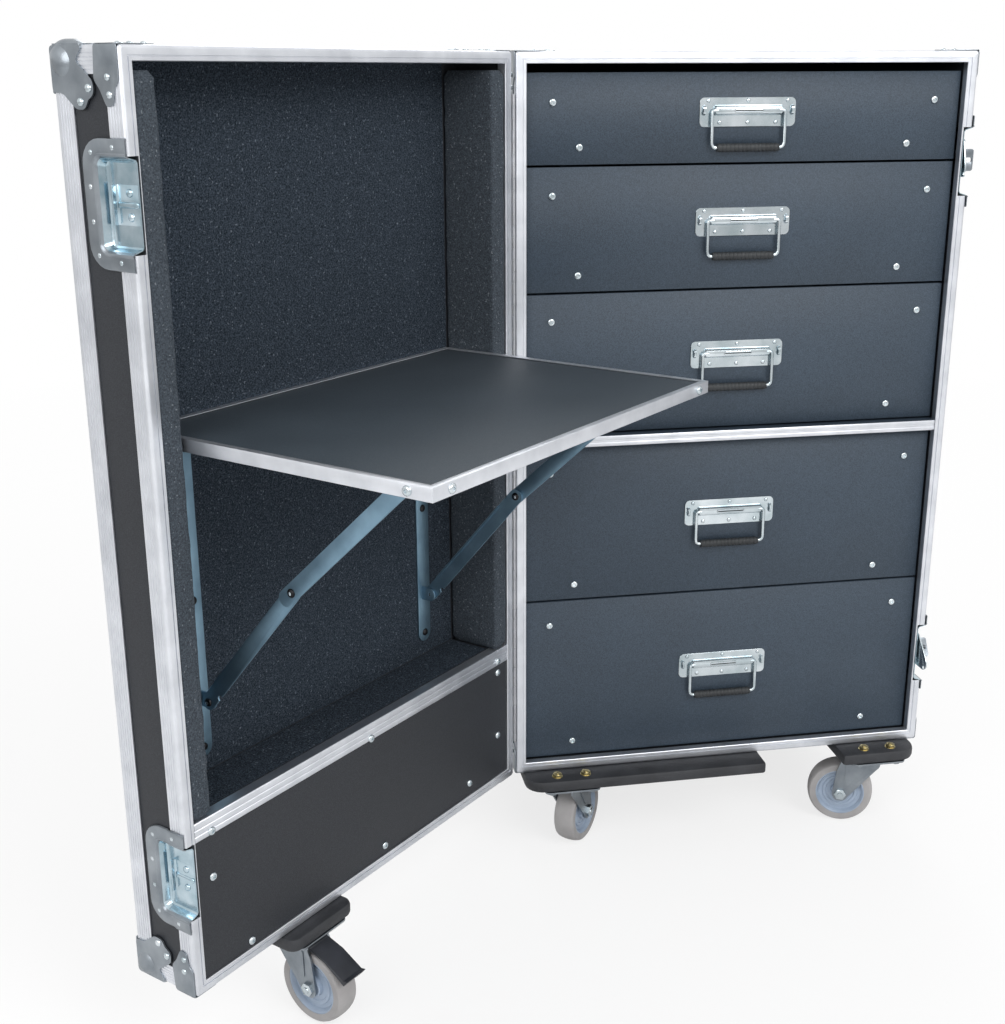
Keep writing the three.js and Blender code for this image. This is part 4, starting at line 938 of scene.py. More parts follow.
for number in range(1, 6):
    low, high = local_box(f"drawer_{number}", CASE)
    screws = bmesh.new()
    for inset, rise in ((UPPER_SCREWS[0], high.z - UPPER_SCREWS[1]),
                        (LOWER_SCREWS[0], low.z + LOWER_SCREWS[1])):
        for x in (inset, CASE_WIDTH - inset):
            button_screw(screws, at(x, low.y, rise) @ ON_FRONT)
    piece(f"drawer_screws_{number}", screws, f"drawer_{number}", ZINC_LIGHT)
    handle(number)

for label, height in LATCH_HEIGHTS.items():
    keeper(label, height)
    hook(label, height)
piece("case_rivets", case_rivets, "case", ZINC_LIGHT, CASE)
piece("lid_rivets", lid_rivets, "lid", ZINC_LIGHT, LID)


# Piano hinge: two leaves and a run of short knuckles, case and lid by turns
KNUCKLES = 61
KNUCKLE_RADIUS = 0.0019
KNUCKLE_GAP = 0.0004
HINGE_RIVETS = 12
LEAF_SHEET = 0.001


def hinge():
    for index, (body, place, leaf_name) in enumerate((("case", CASE, "hinge_case_leaf"),
                                                      ("lid", LID, "hinge_lid_leaf"))):
        low, high = local_box(leaf_name, place)
        side = 1 if index == 0 else -1
        leaf_top = high.x if abs(high.x) < abs(low.x) else low.x
        start = HINGE.y + side * (KNUCKLE_RADIUS + GAP)
        end = high.y if side > 0 else low.y
        bm = bmesh.new()
        near, far = sorted((start, end))
        block(bm, (leaf_top - LEAF_SHEET, near, low.z), (leaf_top, far, high.z))
        pitch = (high.z - low.z) / KNUCKLES
        for number in range(index, KNUCKLES, 2):
            bottom = low.z + number * pitch + KNUCKLE_GAP / 2
            lathe(bm, [(KNUCKLE_RADIUS * 0.9, 0), (KNUCKLE_RADIUS, KNUCKLE_GAP / 2),
                       (KNUCKLE_RADIUS, pitch - KNUCKLE_GAP * 1.5),
                       (KNUCKLE_RADIUS * 0.9, pitch - KNUCKLE_GAP)],
                  at(HINGE.x, HINGE.y, bottom), WIRE_SIDES)
            tie = sorted((HINGE.y, start + side * GAP))
            block(bm, (HINGE.x - KNUCKLE_RADIUS * 0.2, tie[0], bottom),
                  (leaf_top, tie[1], bottom + pitch - KNUCKLE_GAP))
        piece(f"hinge_{body}_side", bm, body, HINGE_STEEL, place, 0, [leaf_name])
        rivets = bmesh.new()
        middle = (start + end) / 2
        for number in range(HINGE_RIVETS):
            z = low.z + (number + 0.5) * (high.z - low.z) / HINGE_RIVETS
            face = Matrix(((0, 0, -1, leaf_top - LEAF_SHEET), (1, 0, 0, middle), (0, -1, 0, z), (0, 0, 0, 1)))
            rivet(rivets, face, HINGE_RIVET_SHARE)
        piece(f"hinge_{body}_rivets", rivets, body, HINGE_STEEL, place)


hinge()


# Divider with its aluminium nose
# The nose in section: how far out of the divider, and how far in from its edge
NOSE_PROFILE = ((0.0008, GAP), (0.0014, 0.0020), (0.0014, 0.0050), (0.0009, 0.0056))


def divider():
    low, high = local_box("case_divider", CASE)
    nodes["case_divider"].data.materials.clear()
    nodes["case_divider"].data.materials.append(LAMINATE)
    bm = bmesh.new()
    left, right = LIP_WIDTH + GAP, CASE_WIDTH - LIP_WIDTH - GAP
    outline = [(low.y - out, low.z + rise) for out, rise in NOSE_PROFILE]
    outline += [(low.y - out, high.z - rise) for out, rise in reversed(NOSE_PROFILE)]
    outline += [(low.y, high.z), (low.y, low.z)]
    skin(bm, section(outline, (left, right)))
    piece("divider_trim", bm, "case", ALUMINIUM, CASE, FINE_EDGE)


divider()


# Lower compartment of the lid: fascia panel, trimmed top edge, carpeted floor
FASCIA_SCREWS = ((0.596, 0.137), (0.544, 0.024), (0.298, 0.028), (0.109, 0.034),
                 (0.039, 0.080), (0.038, 0.178))
TRIM_SCREWS = ((0.594, 0.194), (0.319, 0.192), (0.039, 0.196))
TRIM_HEIGHT = 0.023
TRIM_RISE = 0.0016
TRIM_GROOVE = 0.0006
TRIM_LEG = 0.0140
FASCIA_THICKNESS = 0.009
COMPARTMENT_FLOOR = 0.012
CARPET_THICKNESS = 0.00024
CARPET_CELLS = 40
CARPET_ROOM = 0.001
CARPET_TOP_LAP = 0.010
CARPET_FRONT_ROOM = 0.016


def fascia():
    low, high = local_box("lid_fascia", LID)
    front = LID_FRONT - LIP_THICKNESS
    panel = bmesh.new()
    block(panel, (low.x, front - FASCIA_THICKNESS, low.z), (high.x, front, high.z - SHEET))
    made = make_object("lid_fascia_panel", panel, LID)
    finish_piece(made, "lid", LAMINATE_BLACK, PANEL_EDGE, ["lid_fascia"])
    trim = bmesh.new()
    bottom = high.z - TRIM_HEIGHT
    face = front + TRIM_RISE
    dip = face - TRIM_GROOVE
    profile = [(front, bottom), (face - 0.0004, bottom), (face, bottom + 0.0006),
               (face, bottom + 0.0060), (dip, bottom + 0.0066), (dip, bottom + 0.0076),
               (face, bottom + 0.0082), (face, high.z - 0.0095), (dip, high.z - 0.0089),
               (dip, high.z - 0.0079), (face, high.z - 0.0073), (face, high.z - 0.0012),
               (face - 0.0010, high.z), (front - TRIM_LEG, high.z), (front - TRIM_LEG, high.z - SHEET),
               (front, high.z - SHEET)]
    skin(trim, section(profile, (low.x, high.x)))
    piece("lid_fascia_trim", trim, "lid", ALUMINIUM, LID, TRIM_EDGE)
    board = bmesh.new()
    block(board, (low.x, low.y, high.z - COMPARTMENT_FLOOR), (high.x, front - 0.0145, high.z - GAP))
    piece("lid_compartment_floor", board, "lid", LAMINATE_BLACK, LID, PANEL_EDGE)
    screws = bmesh.new()
    for x, z in FASCIA_SCREWS:
        button_screw(screws, at(x, front, z) @ TO_FRONT)
    for x, z in TRIM_SCREWS:
        button_screw(screws, at(x, dip, z) @ TO_FRONT)
    piece("lid_fascia_screws", screws, "lid", ZINC_LIGHT, LID)


fascia()


# Soft linings
LINING_ROUND = 0.004
LINING_STEP = 0.007
LINING_CROWN = 0.0007


def lining(name, made_name):
    low, high = local_box(name, LID)
    size = high - low
    middle = (low + high) / 2
    bm = bmesh.new()
    rows = round(size.z / LINING_STEP)
    base = rounded(size.x, size.y, LINING_ROUND)
    steps = [max(1, round((base[(index + 1) % len(base)] - point).length / LINING_STEP))
             for index, point in enumerate(base)]
    loops = []
    for row in range(rows + 1):
        height = size.z * (row / rows - 0.5)
        end = min(size.z / 2 - abs(height), LINING_ROUND)
        inset = LINING_ROUND - math.sqrt(max(LINING_ROUND ** 2 - (LINING_ROUND - end) ** 2, 0))
        outline = rounded(size.x - inset * 2, size.y - inset * 2, LINING_ROUND, height)
        dense = []
        for index, point in enumerate(outline):
            after = outline[(index + 1) % len(outline)]
            dense += [point.lerp(after, step / steps[index]) for step in range(steps[index])]
        loop = []
        for point in dense:
            hollow = LINING_CROWN * (1 + noise.noise(point * 60 + middle * 10)) / size.x
            loop.append(middle + Vector((point.x * (1 - hollow), point.y * (1 - hollow), point.z)))
        loops.append(loop)
    skin(bm, loops)
    made = piece(made_name, bm, "lid", FOAM, LID, 0, [name])


lining("lid_hinge_lining", "lining_hinge_side")
lining("lid_latch_lining", "lining_latch_side")


def carpets():
    """Thin glued carpet on the lid's back wall and on the compartment floor."""
    left = local_box("lid_hinge_lining", LID)[1].x + GAP
    right = local_box("lid_latch_lining", LID)[0].x - GAP
    lining_low, lining_high = local_box("lid_hinge_lining", LID)
    wall_y = lining_low.y - GAP
    floor_z = local_box("lid_fascia", LID)[1].z
    top = lining_high.z + CARPET_TOP_LAP
    patches = (
        ("carpet_back", (left, floor_z + CARPET_ROOM), (right, top),
         lambda u, v, t: Vector((u, wall_y + GAP * 0.2 + t, v))),
        ("carpet_floor", (left, wall_y + CARPET_ROOM),
         (right, LID_FRONT - LIP_THICKNESS - CARPET_FRONT_ROOM),
         lambda u, v, t: Vector((u, v, floor_z - GAP * 0.5 + t))),
    )
    for name, (u0, v0), (u1, v1), turn in patches:
        bm = bmesh.new()
        rows = []
        across = CARPET_CELLS
        along = max(6, round((v1 - v0) / (u1 - u0) * CARPET_CELLS))
        for level in (0, CARPET_THICKNESS):
            rows.append([[bm.verts.new(turn(u0 + (u1 - u0) * i / across, v0 + (v1 - v0) * j / along, level))
                          for i in range(across + 1)] for j in range(along + 1)])
        for grid in rows:
            for j in range(along):
                for i in range(across):
                    bm.faces.new((grid[j][i], grid[j][i + 1], grid[j + 1][i + 1], grid[j + 1][i]))
        lower, upper = rows
        edge = [(0, i) for i in range(across)] + [(j, across) for j in range(along)]
        edge += [(along, i) for i in range(across, 0, -1)] + [(j, 0) for j in range(along, 0, -1)]
        for index, (j, i) in enumerate(edge):
            jj, ii = edge[(index + 1) % len(edge)]
            bm.faces.new((lower[j][i], lower[jj][ii], upper[jj][ii], upper[j][i]))
        made = piece(name, bm, "lid", CARPET, LID)


carpets()


# Folding shelf: laminated panel, edging with screws, and two folding brackets
LINK_HALF = 0.0095
STRIP_HALF = 0.013
STEEL = 0.0025
LEVEL_PITCH = 0.0028
NOTCH_RADIUS = 0.0042
NOTCH_ALONG = 0.021
TONGUE = 0.012
LINK_LIP_SHARES = (0.14, 0.86)
LINK_LIP_THICKNESS = 0.0024
LINK_LIP_DEPTH = 0.005
ARM_BEYOND = 0.016
SHELF_FRONT_SCREWS = (0.069, 0.560)
SHELF_SIDE_SCREWS = (0.284, -0.045)
PIVOT_HEAD = ((0.0052, 0), (0.0050, 0.0008), (0.0042, 0.0018), (0.0026, 0.0024))
PIVOT_TIP = ((0.0022, 0), (0.0022, 0.0028), (0.0012, 0.0032))


def shelf():
    low, high = local_box("shelf_edging", LID)
    inset = SHEET + GAP
    bottom, top = low.z - GAP, high.z - SHEET
    bm = bmesh.new()
    block(bm, (low.x + inset, low.y + inset, bottom), (high.x - inset, high.y - inset, top))
    piece("shelf_panel", bm, "shelf", SHELF_TOP, LID, PANEL_EDGE, ["shelf_board"])
    screws = bmesh.new()
    middle = (low.z + high.z) / 2
    for x in SHELF_FRONT_SCREWS:
        button_screw(screws, at(x, high.y, middle) @ TO_FRONT)
    for y in SHELF_SIDE_SCREWS:
        button_screw(screws, at(high.x, y, middle) @ ON_SIDE)
        button_screw(screws, at(low.x, y, middle) @ Matrix.Scale(-1, 4, (1, 0, 0)) @ ON_SIDE)
    piece("shelf_screws", screws, "shelf", ZINC_LIGHT, LID)
    return bottom


def flat_bar(bm, start, end, x0, x1, extra=0.0):
    """A flat link with round ends between two points (y, z), `extra` longer at its start."""
    along = Vector((end[0] - start[0], end[1] - start[1]))
    length = along.length
    outline = half_round(LINK_HALF, -math.pi / 2, length) + half_round(LINK_HALF, math.pi / 2, -extra)
    turn = (at(min(x0, x1), start[0], start[1]) @ ON_SIDE
            @ Matrix.Rotation(math.atan2(along.y, along.x), 4, "Z"))
    prism(bm, outline, abs(x1 - x0), turn)
    return turn, length


def bracket(label, board_bottom):
    wall = tuple(joint_spot(f"lower_link_{label}", LID).yz)
    shelf_pivot = tuple(joint_spot(f"upper_link_{label}", LID).yz)
    corner = (wall[0], shelf_pivot[1])
    upper_low, upper_high = local_box(f"bracket_upper_link_{label}", LID)
    lower_high = local_box(f"bracket_lower_link_{label}", LID)[1]
    middle = (lower_high.y - LINK_HALF, lower_high.z - LINK_HALF)
    strip_low, strip_high = local_box(f"bracket_wall_leg_{label}", LID)
    strip_x = (strip_low.x + strip_high.x) / 2

    def level(index):
        """The span in x of one of the side-by-side planes, counted from the wall leg's ears."""
        offset = (2 - index) * LEVEL_PITCH * (1 if label == "hinge" else -1)
        return upper_low.x + offset, upper_high.x + offset

    lower = bmesh.new()
    turn, length = flat_bar(lower, wall, middle, *level(1))
    lip = (0, LINK_LIP_DEPTH) if label == "hinge" else (STEEL - LINK_LIP_DEPTH, STEEL)
    block(lower, (LINK_LIP_SHARES[0] * length, LINK_HALF - LINK_LIP_THICKNESS, lip[0]),
          (LINK_LIP_SHARES[1] * length, LINK_HALF, lip[1]), turn)
    made = make_object(f"bracket_lower_{label}", lower, LID)
    notch = bmesh.new()
    lathe(notch, [(NOTCH_RADIUS, -OVERRUN), (NOTCH_RADIUS, OVERRUN)],
          turn @ at(NOTCH_ALONG, -LINK_HALF, 0), SMALL_SIDES)
    carve(made, notch)
    finish_piece(made, f"bracket_lower_link_{label}", BRACKET, STEEL_EDGE,
                 [f"bracket_lower_link_{label}"])

    upper = bmesh.new()
    flat_bar(upper, middle, shelf_pivot, *level(2), TONGUE)
    piece(f"bracket_upper_{label}", upper, f"bracket_upper_link_{label}", BRACKET,
          LID, STEEL_EDGE, [f"bracket_upper_link_{label}"])

    leg = bmesh.new()
    back = strip_low.y
    foot = strip_low.z + STRIP_HALF
    top = strip_high.z - STRIP_HALF
    outline = half_round(STRIP_HALF, 0, y=top) + half_round(STRIP_HALF, math.pi, y=foot)
    prism(leg, outline, STEEL, at(strip_x, back, 0) @ ON_BACK)
    for spot in (corner, wall):
        flat_bar(leg, spot, (back + STEEL * 0.5, spot[1]), *level(0))
    piece(f"bracket_wall_{label}", leg, "lid", BRACKET, LID, STEEL_EDGE,
          [f"bracket_wall_leg_{label}"])

    arm = bmesh.new()
    under = board_bottom - STEEL
    block(arm, (strip_x - STRIP_HALF, corner[0] - GAP, under),
          (strip_x + STRIP_HALF, shelf_pivot[0] + ARM_BEYOND, board_bottom))
    flat_bar(arm, corner, (corner[0], under + STEEL * 0.5 - LINK_HALF * 0.2), *level(1))
    flat_bar(arm, shelf_pivot, (shelf_pivot[0], under - LINK_HALF * 0.2), *level(3))
    piece(f"bracket_shelf_{label}", arm, "shelf", BRACKET, LID, STEEL_EDGE)

    # Pivot heads on the side that faces out of the lid
    heads = (("wall", *wall, f"bracket_lower_link_{label}", 1),
             ("middle", *middle, f"bracket_upper_link_{label}", 2),
             ("shelf", *shelf_pivot, "shelf", 3))
    for head, y, z, body, number in heads:
        face = max(level(number)[1], level(number - 1)[1] if number > 1 else 0)
        for part, profile, finish, slot in (("", PIVOT_HEAD, BLACKENED, "black_board"),
                                            ("_tip", PIVOT_TIP, ZINC_LIGHT, "zinc")):
            bm = bmesh.new()
            lathe(bm, profile, at(face, y, z) @ ON_SIDE, SMALL_SIDES)
            piece(f"pivot_{head}{part}_{label}", bm, body, finish, LID)
    screws = bmesh.new()
    for z in (foot, (foot + top) / 2, top):
        lathe(screws, PIVOT_HEAD, at(strip_x, back + STEEL, z) @ TO_FRONT, SMALL_SIDES)
    piece(f"bracket_screws_{label}", screws, "lid", BLACKENED, LID)


shelf_bottom = shelf()
for label in ("hinge", "latch"):
    bracket(label, shelf_bottom)


# Latch rotors and folding wings
WING_HEIGHT = 0.030
WING_LENGTH = 0.028
WING_THICKNESS = 0.0025
WING_BARREL = 0.003
WING_SLOT = (0.017, 0.007)
WING_SLOT_SHARE = 0.62
WING_ROUND = 0.004
WING_ROOT = -0.001
WING_SLOT_ROUND = 0.0034
TAB_HALF = 0.0015
TAB_ROOM = 0.0018
TAB_BOTTOM = 0.0027
ROTOR_RADIUS = 0.015
ROTOR_HEIGHT = 0.003
ROTOR_PROFILE = ((ROTOR_RADIUS, 0), (ROTOR_RADIUS, 0.0018), (ROTOR_RADIUS - 0.0012, 0.0030),
                 (0.0065, 0.0030), (0.0060, 0.0024), (0.0030, 0.0024))


def latch(label):
    rotor = joint_spot(f"latch_{label}_turn")
    barrel = joint_spot(f"latch_{label}_wing_fold")
    offset = barrel - rotor
    turn = math.atan2(offset.z, offset.y)
    reach = Vector((offset.y, offset.z)).length
    base = at(rotor.x - ROTOR_HEIGHT, rotor.y, rotor.z) @ Matrix.Rotation(turn, 4, "X")
    bm = bmesh.new()
    lift = barrel.x - rotor.x + ROTOR_HEIGHT
    lathe(bm, ROTOR_PROFILE, base @ ON_SIDE)
    for shift in (-1, 1):
        z = shift * WING_HEIGHT / 4
        block(bm, (TAB_BOTTOM, reach - WING_BARREL, z - TAB_HALF),
              (lift, reach + WING_BARREL, z + TAB_HALF), base)
        lathe(bm, [(WING_BARREL, -TAB_HALF), (WING_BARREL, TAB_HALF)],
              base @ at(lift, reach, z), SMALL_SIDES)
    piece(f"latch_disc_{label}", bm, f"latch_rotor_{label}", ZINC, CASE, FINE_EDGE,
          [f"latch_rotor_{label}"])

    hinge_place = base @ at(lift, reach, 0)
    wing = bmesh.new()
    prism(wing, filleted(rectangle((WING_ROOT, -WING_HEIGHT / 2), (WING_LENGTH, WING_HEIGHT / 2)),
                         WING_ROUND), WING_THICKNESS,
          hinge_place @ at(0, WING_THICKNESS / 2, 0) @ ON_FRONT)
    made = make_object(f"latch_handle_{label}", wing, CASE)
    for first, second in ((-0.5, -0.25), (-0.25, 0.25), (0.25, 0.5)):
        rim = bmesh.new()
        low_end = WING_HEIGHT * first + (TAB_ROOM if first > -0.5 else 0)
        high_end = WING_HEIGHT * second - (TAB_ROOM if second < 0.5 else 0)
        lathe(rim, [(WING_BARREL, low_end), (WING_BARREL, high_end)], hinge_place, SMALL_SIDES)
        carve(made, rim, "UNION")
    cuts = bmesh.new()
    half = [size / 2 for size in WING_SLOT]
    slot = filleted(rectangle([-size for size in half], half), WING_SLOT_ROUND)
    prism(cuts, slot, OVERRUN * 2,
          hinge_place @ at(WING_LENGTH * WING_SLOT_SHARE, OVERRUN, 0) @ ON_FRONT)
    for shift in (-1, 1):
        z = shift * WING_HEIGHT / 4
        block(cuts, (-OVERRUN, -OVERRUN, z - TAB_ROOM),
              (WING_BARREL + GAP, OVERRUN, z + TAB_ROOM), hinge_place)
    carve(made, cuts)
    finish_piece(made, f"latch_wing_{label}", ZINC, PLATE_EDGE, [f"latch_wing_{label}"])


for label in LATCH_HEIGHTS:
    latch(label)


# Caster boards with their top plates, ball races and nuts
BOARD_THICKNESS = 0.018
BOARD_EDGE = 0.0045
PLATE_SIZE = (0.084, 0.100)
PLATE_THICKNESS = 0.003
RACE_PROFILE = ((0.029, 0), (0.029, -0.0026), (0.0272, -0.0036), (0.0282, -0.0048), (0.0282, -0.0072),
                (0.0262, -0.0090))
PLATE_ROUND = 0.008
BOLT_INSETS = (0.030, 0.038)
CASE_BOARD_ROUND = 0.028
LID_BOARD_ROUND = 0.014
BOARD_CUT = (0.378, 0.502)
BOARD_CUT_DEPTH = 0.034
BOARD_NUT_SHIFT = 0.0215
BOARD_NUT_LINE = -0.019
WASHER_PROFILE = ((0.0082, 0), (0.0080, 0.0009), (0.0064, 0.0012))


def nut(bm, place, apothem=0.0062, height=0.0048):
    rise = [hexagon(apothem, SMALL_SIDES, 0), hexagon(apothem, SMALL_SIDES, height * 0.85),
            circle(apothem * 0.92, SMALL_SIDES, height)]
    skin(bm, rise, place)
    lathe(bm, [(apothem * 0.55, height - GAP), (apothem * 0.5, height + 0.0012)], place, SMALL_SIDES)


def caster_mounts(name, body, place, spots, under):
    bm = bmesh.new()
    down = Matrix.Scale(-1, 4, (0, 0, 1))
    for x, y in spots:
        skin(bm, [rounded(*PLATE_SIZE, PLATE_ROUND, 0),
                  rounded(*PLATE_SIZE, PLATE_ROUND, -PLATE_THICKNESS * 0.7),
                  rounded(PLATE_SIZE[0] - 0.001, PLATE_SIZE[1] - 0.001, 0.0075, -PLATE_THICKNESS)],
             at(x, y, under))
        lathe(bm, RACE_PROFILE, at(x, y, under - PLATE_THICKNESS + GAP * 0.2))
        for side_x in (-1, 1):
            for side_y in (-1, 1):
                nut(bm, at(x + side_x * BOLT_INSETS[0], y + side_y * BOLT_INSETS[1],
                           under - PLATE_THICKNESS) @ down)
    piece(name, bm, body, ZINC, place, FINE_EDGE)


def board_mesh(low, high, under, radius):
    bm = bmesh.new()
    middle = Vector(((low.x + high.x) / 2, (low.y + high.y) / 2, under))
    outline = rounded(high.x - low.x, high.y - low.y, radius)
    prism(bm, [point + middle for point in outline], BOARD_THICKNESS)
    return bm


def case_board():
    low, high = local_box("case_caster_board", CASE)
    top = -GAP
    under = top - BOARD_THICKNESS
    made = make_object("caster_board_case", board_mesh(low, high, under, CASE_BOARD_ROUND), CASE)
    cut = bmesh.new()
    block(cut, (BOARD_CUT[0], low.y - OVERRUN, under - OVERRUN),
          (BOARD_CUT[1], BOARD_CUT_DEPTH, top + OVERRUN))
    carve(made, cut)
    finish_piece(made, "case", BOARD, BOARD_EDGE, ["case_caster_board"])
    spots = [joint_spot(f"caster_{name}_swivel")[:2] for name in
             ("front_left", "front_right", "rear_left", "rear_right")]
    caster_mounts("caster_plates_case", "case", CASE, spots, under)
    nuts = bmesh.new()
    for spot in spots[:2]:
        for shift in (-BOARD_NUT_SHIFT, BOARD_NUT_SHIFT):
            x = spot[0] + shift
            lathe(nuts, WASHER_PROFILE, at(x, BOARD_NUT_LINE, top - GAP), SMALL_SIDES)
            nut(nuts, at(x, BOARD_NUT_LINE, top))
    piece("caster_board_nuts", nuts, "case", BRASSY, CASE)


def lid_board():
    low, high = local_box("lid_caster_board", LID)
    under = -GAP - BOARD_THICKNESS
    bm = board_mesh(low, high, under, LID_BOARD_ROUND)
    piece("caster_board_lid", bm, "lid", BOARD, LID, BOARD_EDGE, ["lid_caster_board"])
    caster_mounts("caster_plate_lid", "lid", LID, [joint_spot("caster_lid_swivel", LID)[:2]], under)


case_board()
lid_board()


# Casters: fork, tyre, hub and, on the lid, the foot brake
FORK_INNER = 0.0172
FORK_SHEET = 0.003
FORK_OUTLINE = ((-0.0205, -0.0005), (-0.0205, -0.0080), (-0.0120, -0.0180), (0.0245, -0.0640),
                (0.0300, -0.0725), (0.0440, -0.0725), (0.0495, -0.0640), (0.0435, -0.0180),
                (0.0400, -0.0100), (0.0360, -0.0005))
RIB_OUTLINE = ((0.002, -0.008), (0.026, -0.046), (0.032, -0.046), (0.031, -0.008))
WHEEL_RADIUS = 0.050
WHEEL_HALF = 0.016
TYRE_SHOULDER = 0.046
TYRE_STEPS = 10
WHEEL_SIDES = 72
FORK_RIB_THICKNESS = 0.0016
FORK_RIB_STAND = 0.0012
CROWN_MIDDLE = 0.0077
CROWN_LENGTH = 0.0560
CROWN_ROUND = 0.004
CAP_PROFILE = ((0.0262, -0.0034), (0.0262, -0.0010), (0.0250, 0))
AXLE_RADIUS = 0.0055
AXLE_NUT = (0.0080, 0.0048)
HUB_RADIUS = 0.0372
HUB_PROFILE = ((0.0063, 0.0156), (0.0130, 0.0156), (0.0142, 0.0148), (0.0150, 0.0098), (0.0210, 0.0092),
               (0.0222, 0.0104), (0.0262, 0.0104), (0.0274, 0.0090), (0.0322, 0.0092), (0.0345, 0.0140),
               (0.0358, 0.0152), (HUB_RADIUS, 0.0150))


def caster(name):
    swivel = Vector(joints[f"caster_{name}_swivel"]["pos_m"])
    axle = Vector(joints[f"caster_{name}_roll"]["pos_m"]) - swivel
    trail = Vector((axle.x, axle.y)).length
    place = Matrix.Translation(swivel) @ Matrix.Rotation(math.atan2(axle.y, axle.x), 4, "Z")
    across = at(trail, 0, axle.z) @ Matrix.Rotation(math.pi / 2, 4, "X")
    outer = FORK_INNER + FORK_SHEET
    body = f"caster_fork_{name}"
    fork = bmesh.new()
    for side in (-1, 1):
        start = outer if side > 0 else -FORK_INNER
        prism(fork, filleted(FORK_OUTLINE, 0.006), FORK_SHEET, at(0, start, 0) @ ON_FRONT)
    made = make_object(f"caster_yoke_{name}", fork, place)
    crown = bmesh.new()
    skin(crown, [rounded(CROWN_LENGTH, outer * 2, CROWN_ROUND, -0.0034),
                 rounded(CROWN_LENGTH, outer * 2, CROWN_ROUND, -0.0012),
                 rounded(CROWN_LENGTH - SHEET, outer * 2 - FORK_SHEET * 0.8, CROWN_ROUND, -0.0002)],
         at(CROWN_MIDDLE, 0, 0))
    carve(made, crown, "UNION")
    cap = bmesh.new()
    lathe(cap, CAP_PROFILE)
    carve(made, cap, "UNION")
    for side in (-1, 1):
        rib = bmesh.new()
        start = outer + FORK_RIB_STAND if side > 0 else FORK_RIB_THICKNESS - FORK_RIB_STAND - outer
        prism(rib, filleted(RIB_OUTLINE, 0.005), FORK_RIB_THICKNESS, at(0, start, 0) @ ON_FRONT)
        carve(made, rib, "UNION")
    finish_piece(made, body, ZINC, STEEL_EDGE, [body])
    bolts = bmesh.new()
    lathe(bolts, [(AXLE_RADIUS, -outer), (AXLE_RADIUS, outer)], across, SMALL_SIDES)
    for side in (-1, 1):
        nut(bolts, at(trail, side * outer, axle.z)
            @ Matrix.Rotation(-side * math.pi / 2, 4, "X"), *AXLE_NUT)
    piece(f"caster_axle_{name}", bolts, body, ZINC_LIGHT, place)

    wheel_body = f"caster_wheel_{name}"
    tyre = bmesh.new()
    profile = [(HUB_RADIUS + 0.0001, -WHEEL_HALF + 0.0006)]
    for step in range(TYRE_STEPS + 1):
        angle = math.pi * (step / TYRE_STEPS - 0.5)
        profile.append((TYRE_SHOULDER + (WHEEL_RADIUS - TYRE_SHOULDER) * math.cos(angle),
                        WHEEL_HALF * math.sin(angle)))
    profile.append((HUB_RADIUS + 0.0001, WHEEL_HALF - 0.0006))
    lathe(tyre, profile, across, WHEEL_SIDES, True)
    piece(f"caster_tyre_{name}", tyre, wheel_body, TYRE, place, 0, [wheel_body])
    hub = bmesh.new()
    near = [(radius, -depth) for radius, depth in HUB_PROFILE]
    far = [(radius, depth) for radius, depth in reversed(HUB_PROFILE)]
    lathe(hub, near + far, across, WHEEL_SIDES, True)
    piece(f"caster_hub_{name}", hub, wheel_body, HUB, place)


for name in ("front_left", "front_right", "rear_left", "rear_right", "lid"):
    caster(name)
dress("caster_brake_pedal", PEDAL, DRAWER_EDGE)


# Floor, world and lamps
FLOOR_REACH = 30.0
FLOOR_THICKNESS = 0.02
SHADOW_START = 1.0
SHADOW_END = 4.0
SHADOW_SHARE = 0.24
WORLD_LEVEL = 0.66
# Each lamp's name, spot, height of its aim above the origin, width and watts
LAMPS = (
    ("key", (1.5, -3.0, 3.0), 0.7, 2.4, 85),
    ("fill", (-2.2, -2.8, 2.4), 0.6, 3.0, 55),
    ("rim", (0.6, 3.0, 2.8), 0.6, 2.6, 50),
)


def camera_rays(look):
    return look.node("ShaderNodeLightPath").outputs["Is Camera Ray"]


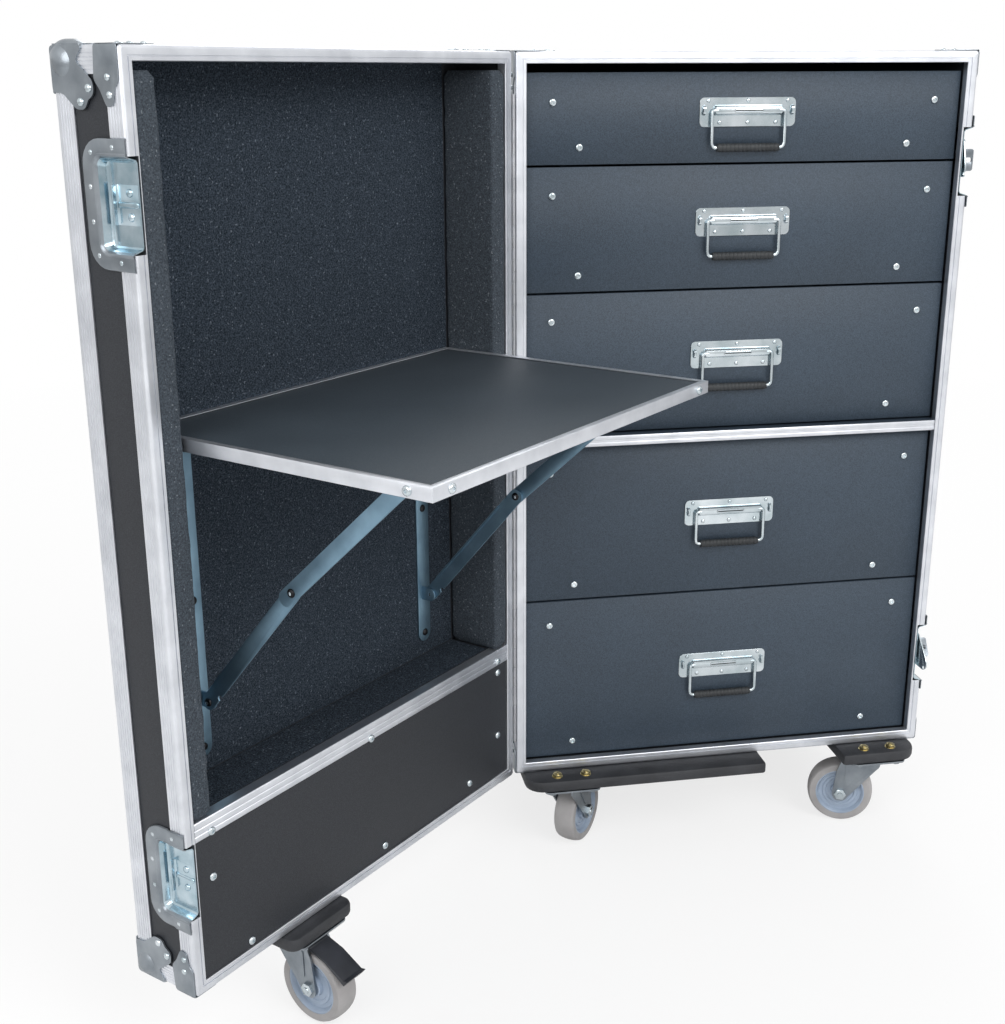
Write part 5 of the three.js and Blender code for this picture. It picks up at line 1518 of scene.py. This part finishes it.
def make_stage():
    """A pale floor that fades to plain white away from the object."""
    bm = bmesh.new()
    block(bm, (-FLOOR_REACH, -FLOOR_REACH, -FLOOR_THICKNESS), (FLOOR_REACH, FLOOR_REACH, 0.0))
    floor = make_object("floor", bm)
    look = Look("floor", roughness=0.9, specular=0.1)
    clouds = look.noise(0.4, 2.0)
    look.colour(look.ramp(clouds, ((0.3, (0.86, 0.86, 0.86)), (0.7, (0.88, 0.88, 0.88)))))
    glow = look.node("ShaderNodeEmission", {"Color": (1, 1, 1, 1), "Strength": 1.0})
    far = look.node("ShaderNodeVectorMath", {0: look.place}, operation="LENGTH").outputs["Value"]
    white = look.node("ShaderNodeMapRange", {"Value": far, "From Min": SHADOW_START,
                                             "From Max": SHADOW_END, "To Min": 1 - SHADOW_SHARE,
                                             "To Max": 1.0}).outputs["Result"]
    share = look.node("ShaderNodeMath", {0: camera_rays(look), 1: white}, operation="MULTIPLY")
    mixed = look.node("ShaderNodeMixShader", {0: share.outputs[0], 1: look.shader.outputs[0],
                                              2: glow.outputs[0]})
    look.tree.links.new(mixed.outputs[0], look.tree.nodes["Material Output"].inputs["Surface"])
    floor.data.materials.append(look.material)
    floor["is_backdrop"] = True


def make_world():
    world = bpy.data.worlds.new("studio")
    world.use_nodes = True
    scene.world = world
    tree = world.node_tree
    background = tree.nodes["Background"]
    background.inputs["Color"].default_value = (1, 1, 1, 1)
    rays = tree.nodes.new("ShaderNodeLightPath")
    total = rays.outputs["Is Camera Ray"]
    for name in ("Is Glossy Ray", "Is Transmission Ray"):
        either = tree.nodes.new("ShaderNodeMath")
        either.operation = "MAXIMUM"
        tree.links.new(total, either.inputs[0])
        tree.links.new(rays.outputs[name], either.inputs[1])
        total = either.outputs[0]
    level = tree.nodes.new("ShaderNodeMapRange")
    level.inputs["To Min"].default_value = WORLD_LEVEL
    level.inputs["To Max"].default_value = 1.0
    tree.links.new(total, level.inputs["Value"])
    tree.links.new(level.outputs["Result"], background.inputs["Strength"])


def make_lamp(name, spot, aim_height, size, power):
    data = bpy.data.lights.new(name, "AREA")
    data.shape = "DISK"
    data.size = size
    data.energy = power
    lamp = bpy.data.objects.new(name, data)
    scene.collection.objects.link(lamp)
    lamp.location = spot
    lamp.rotation_mode = "QUATERNION"
    lamp.rotation_quaternion = (Vector((0, 0, aim_height)) - Vector(spot)).to_track_quat("-Z", "Y")


make_stage()
make_world()
for lamp in LAMPS:
    make_lamp(*lamp)

scene.view_settings.view_transform = "Standard"

low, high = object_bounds()
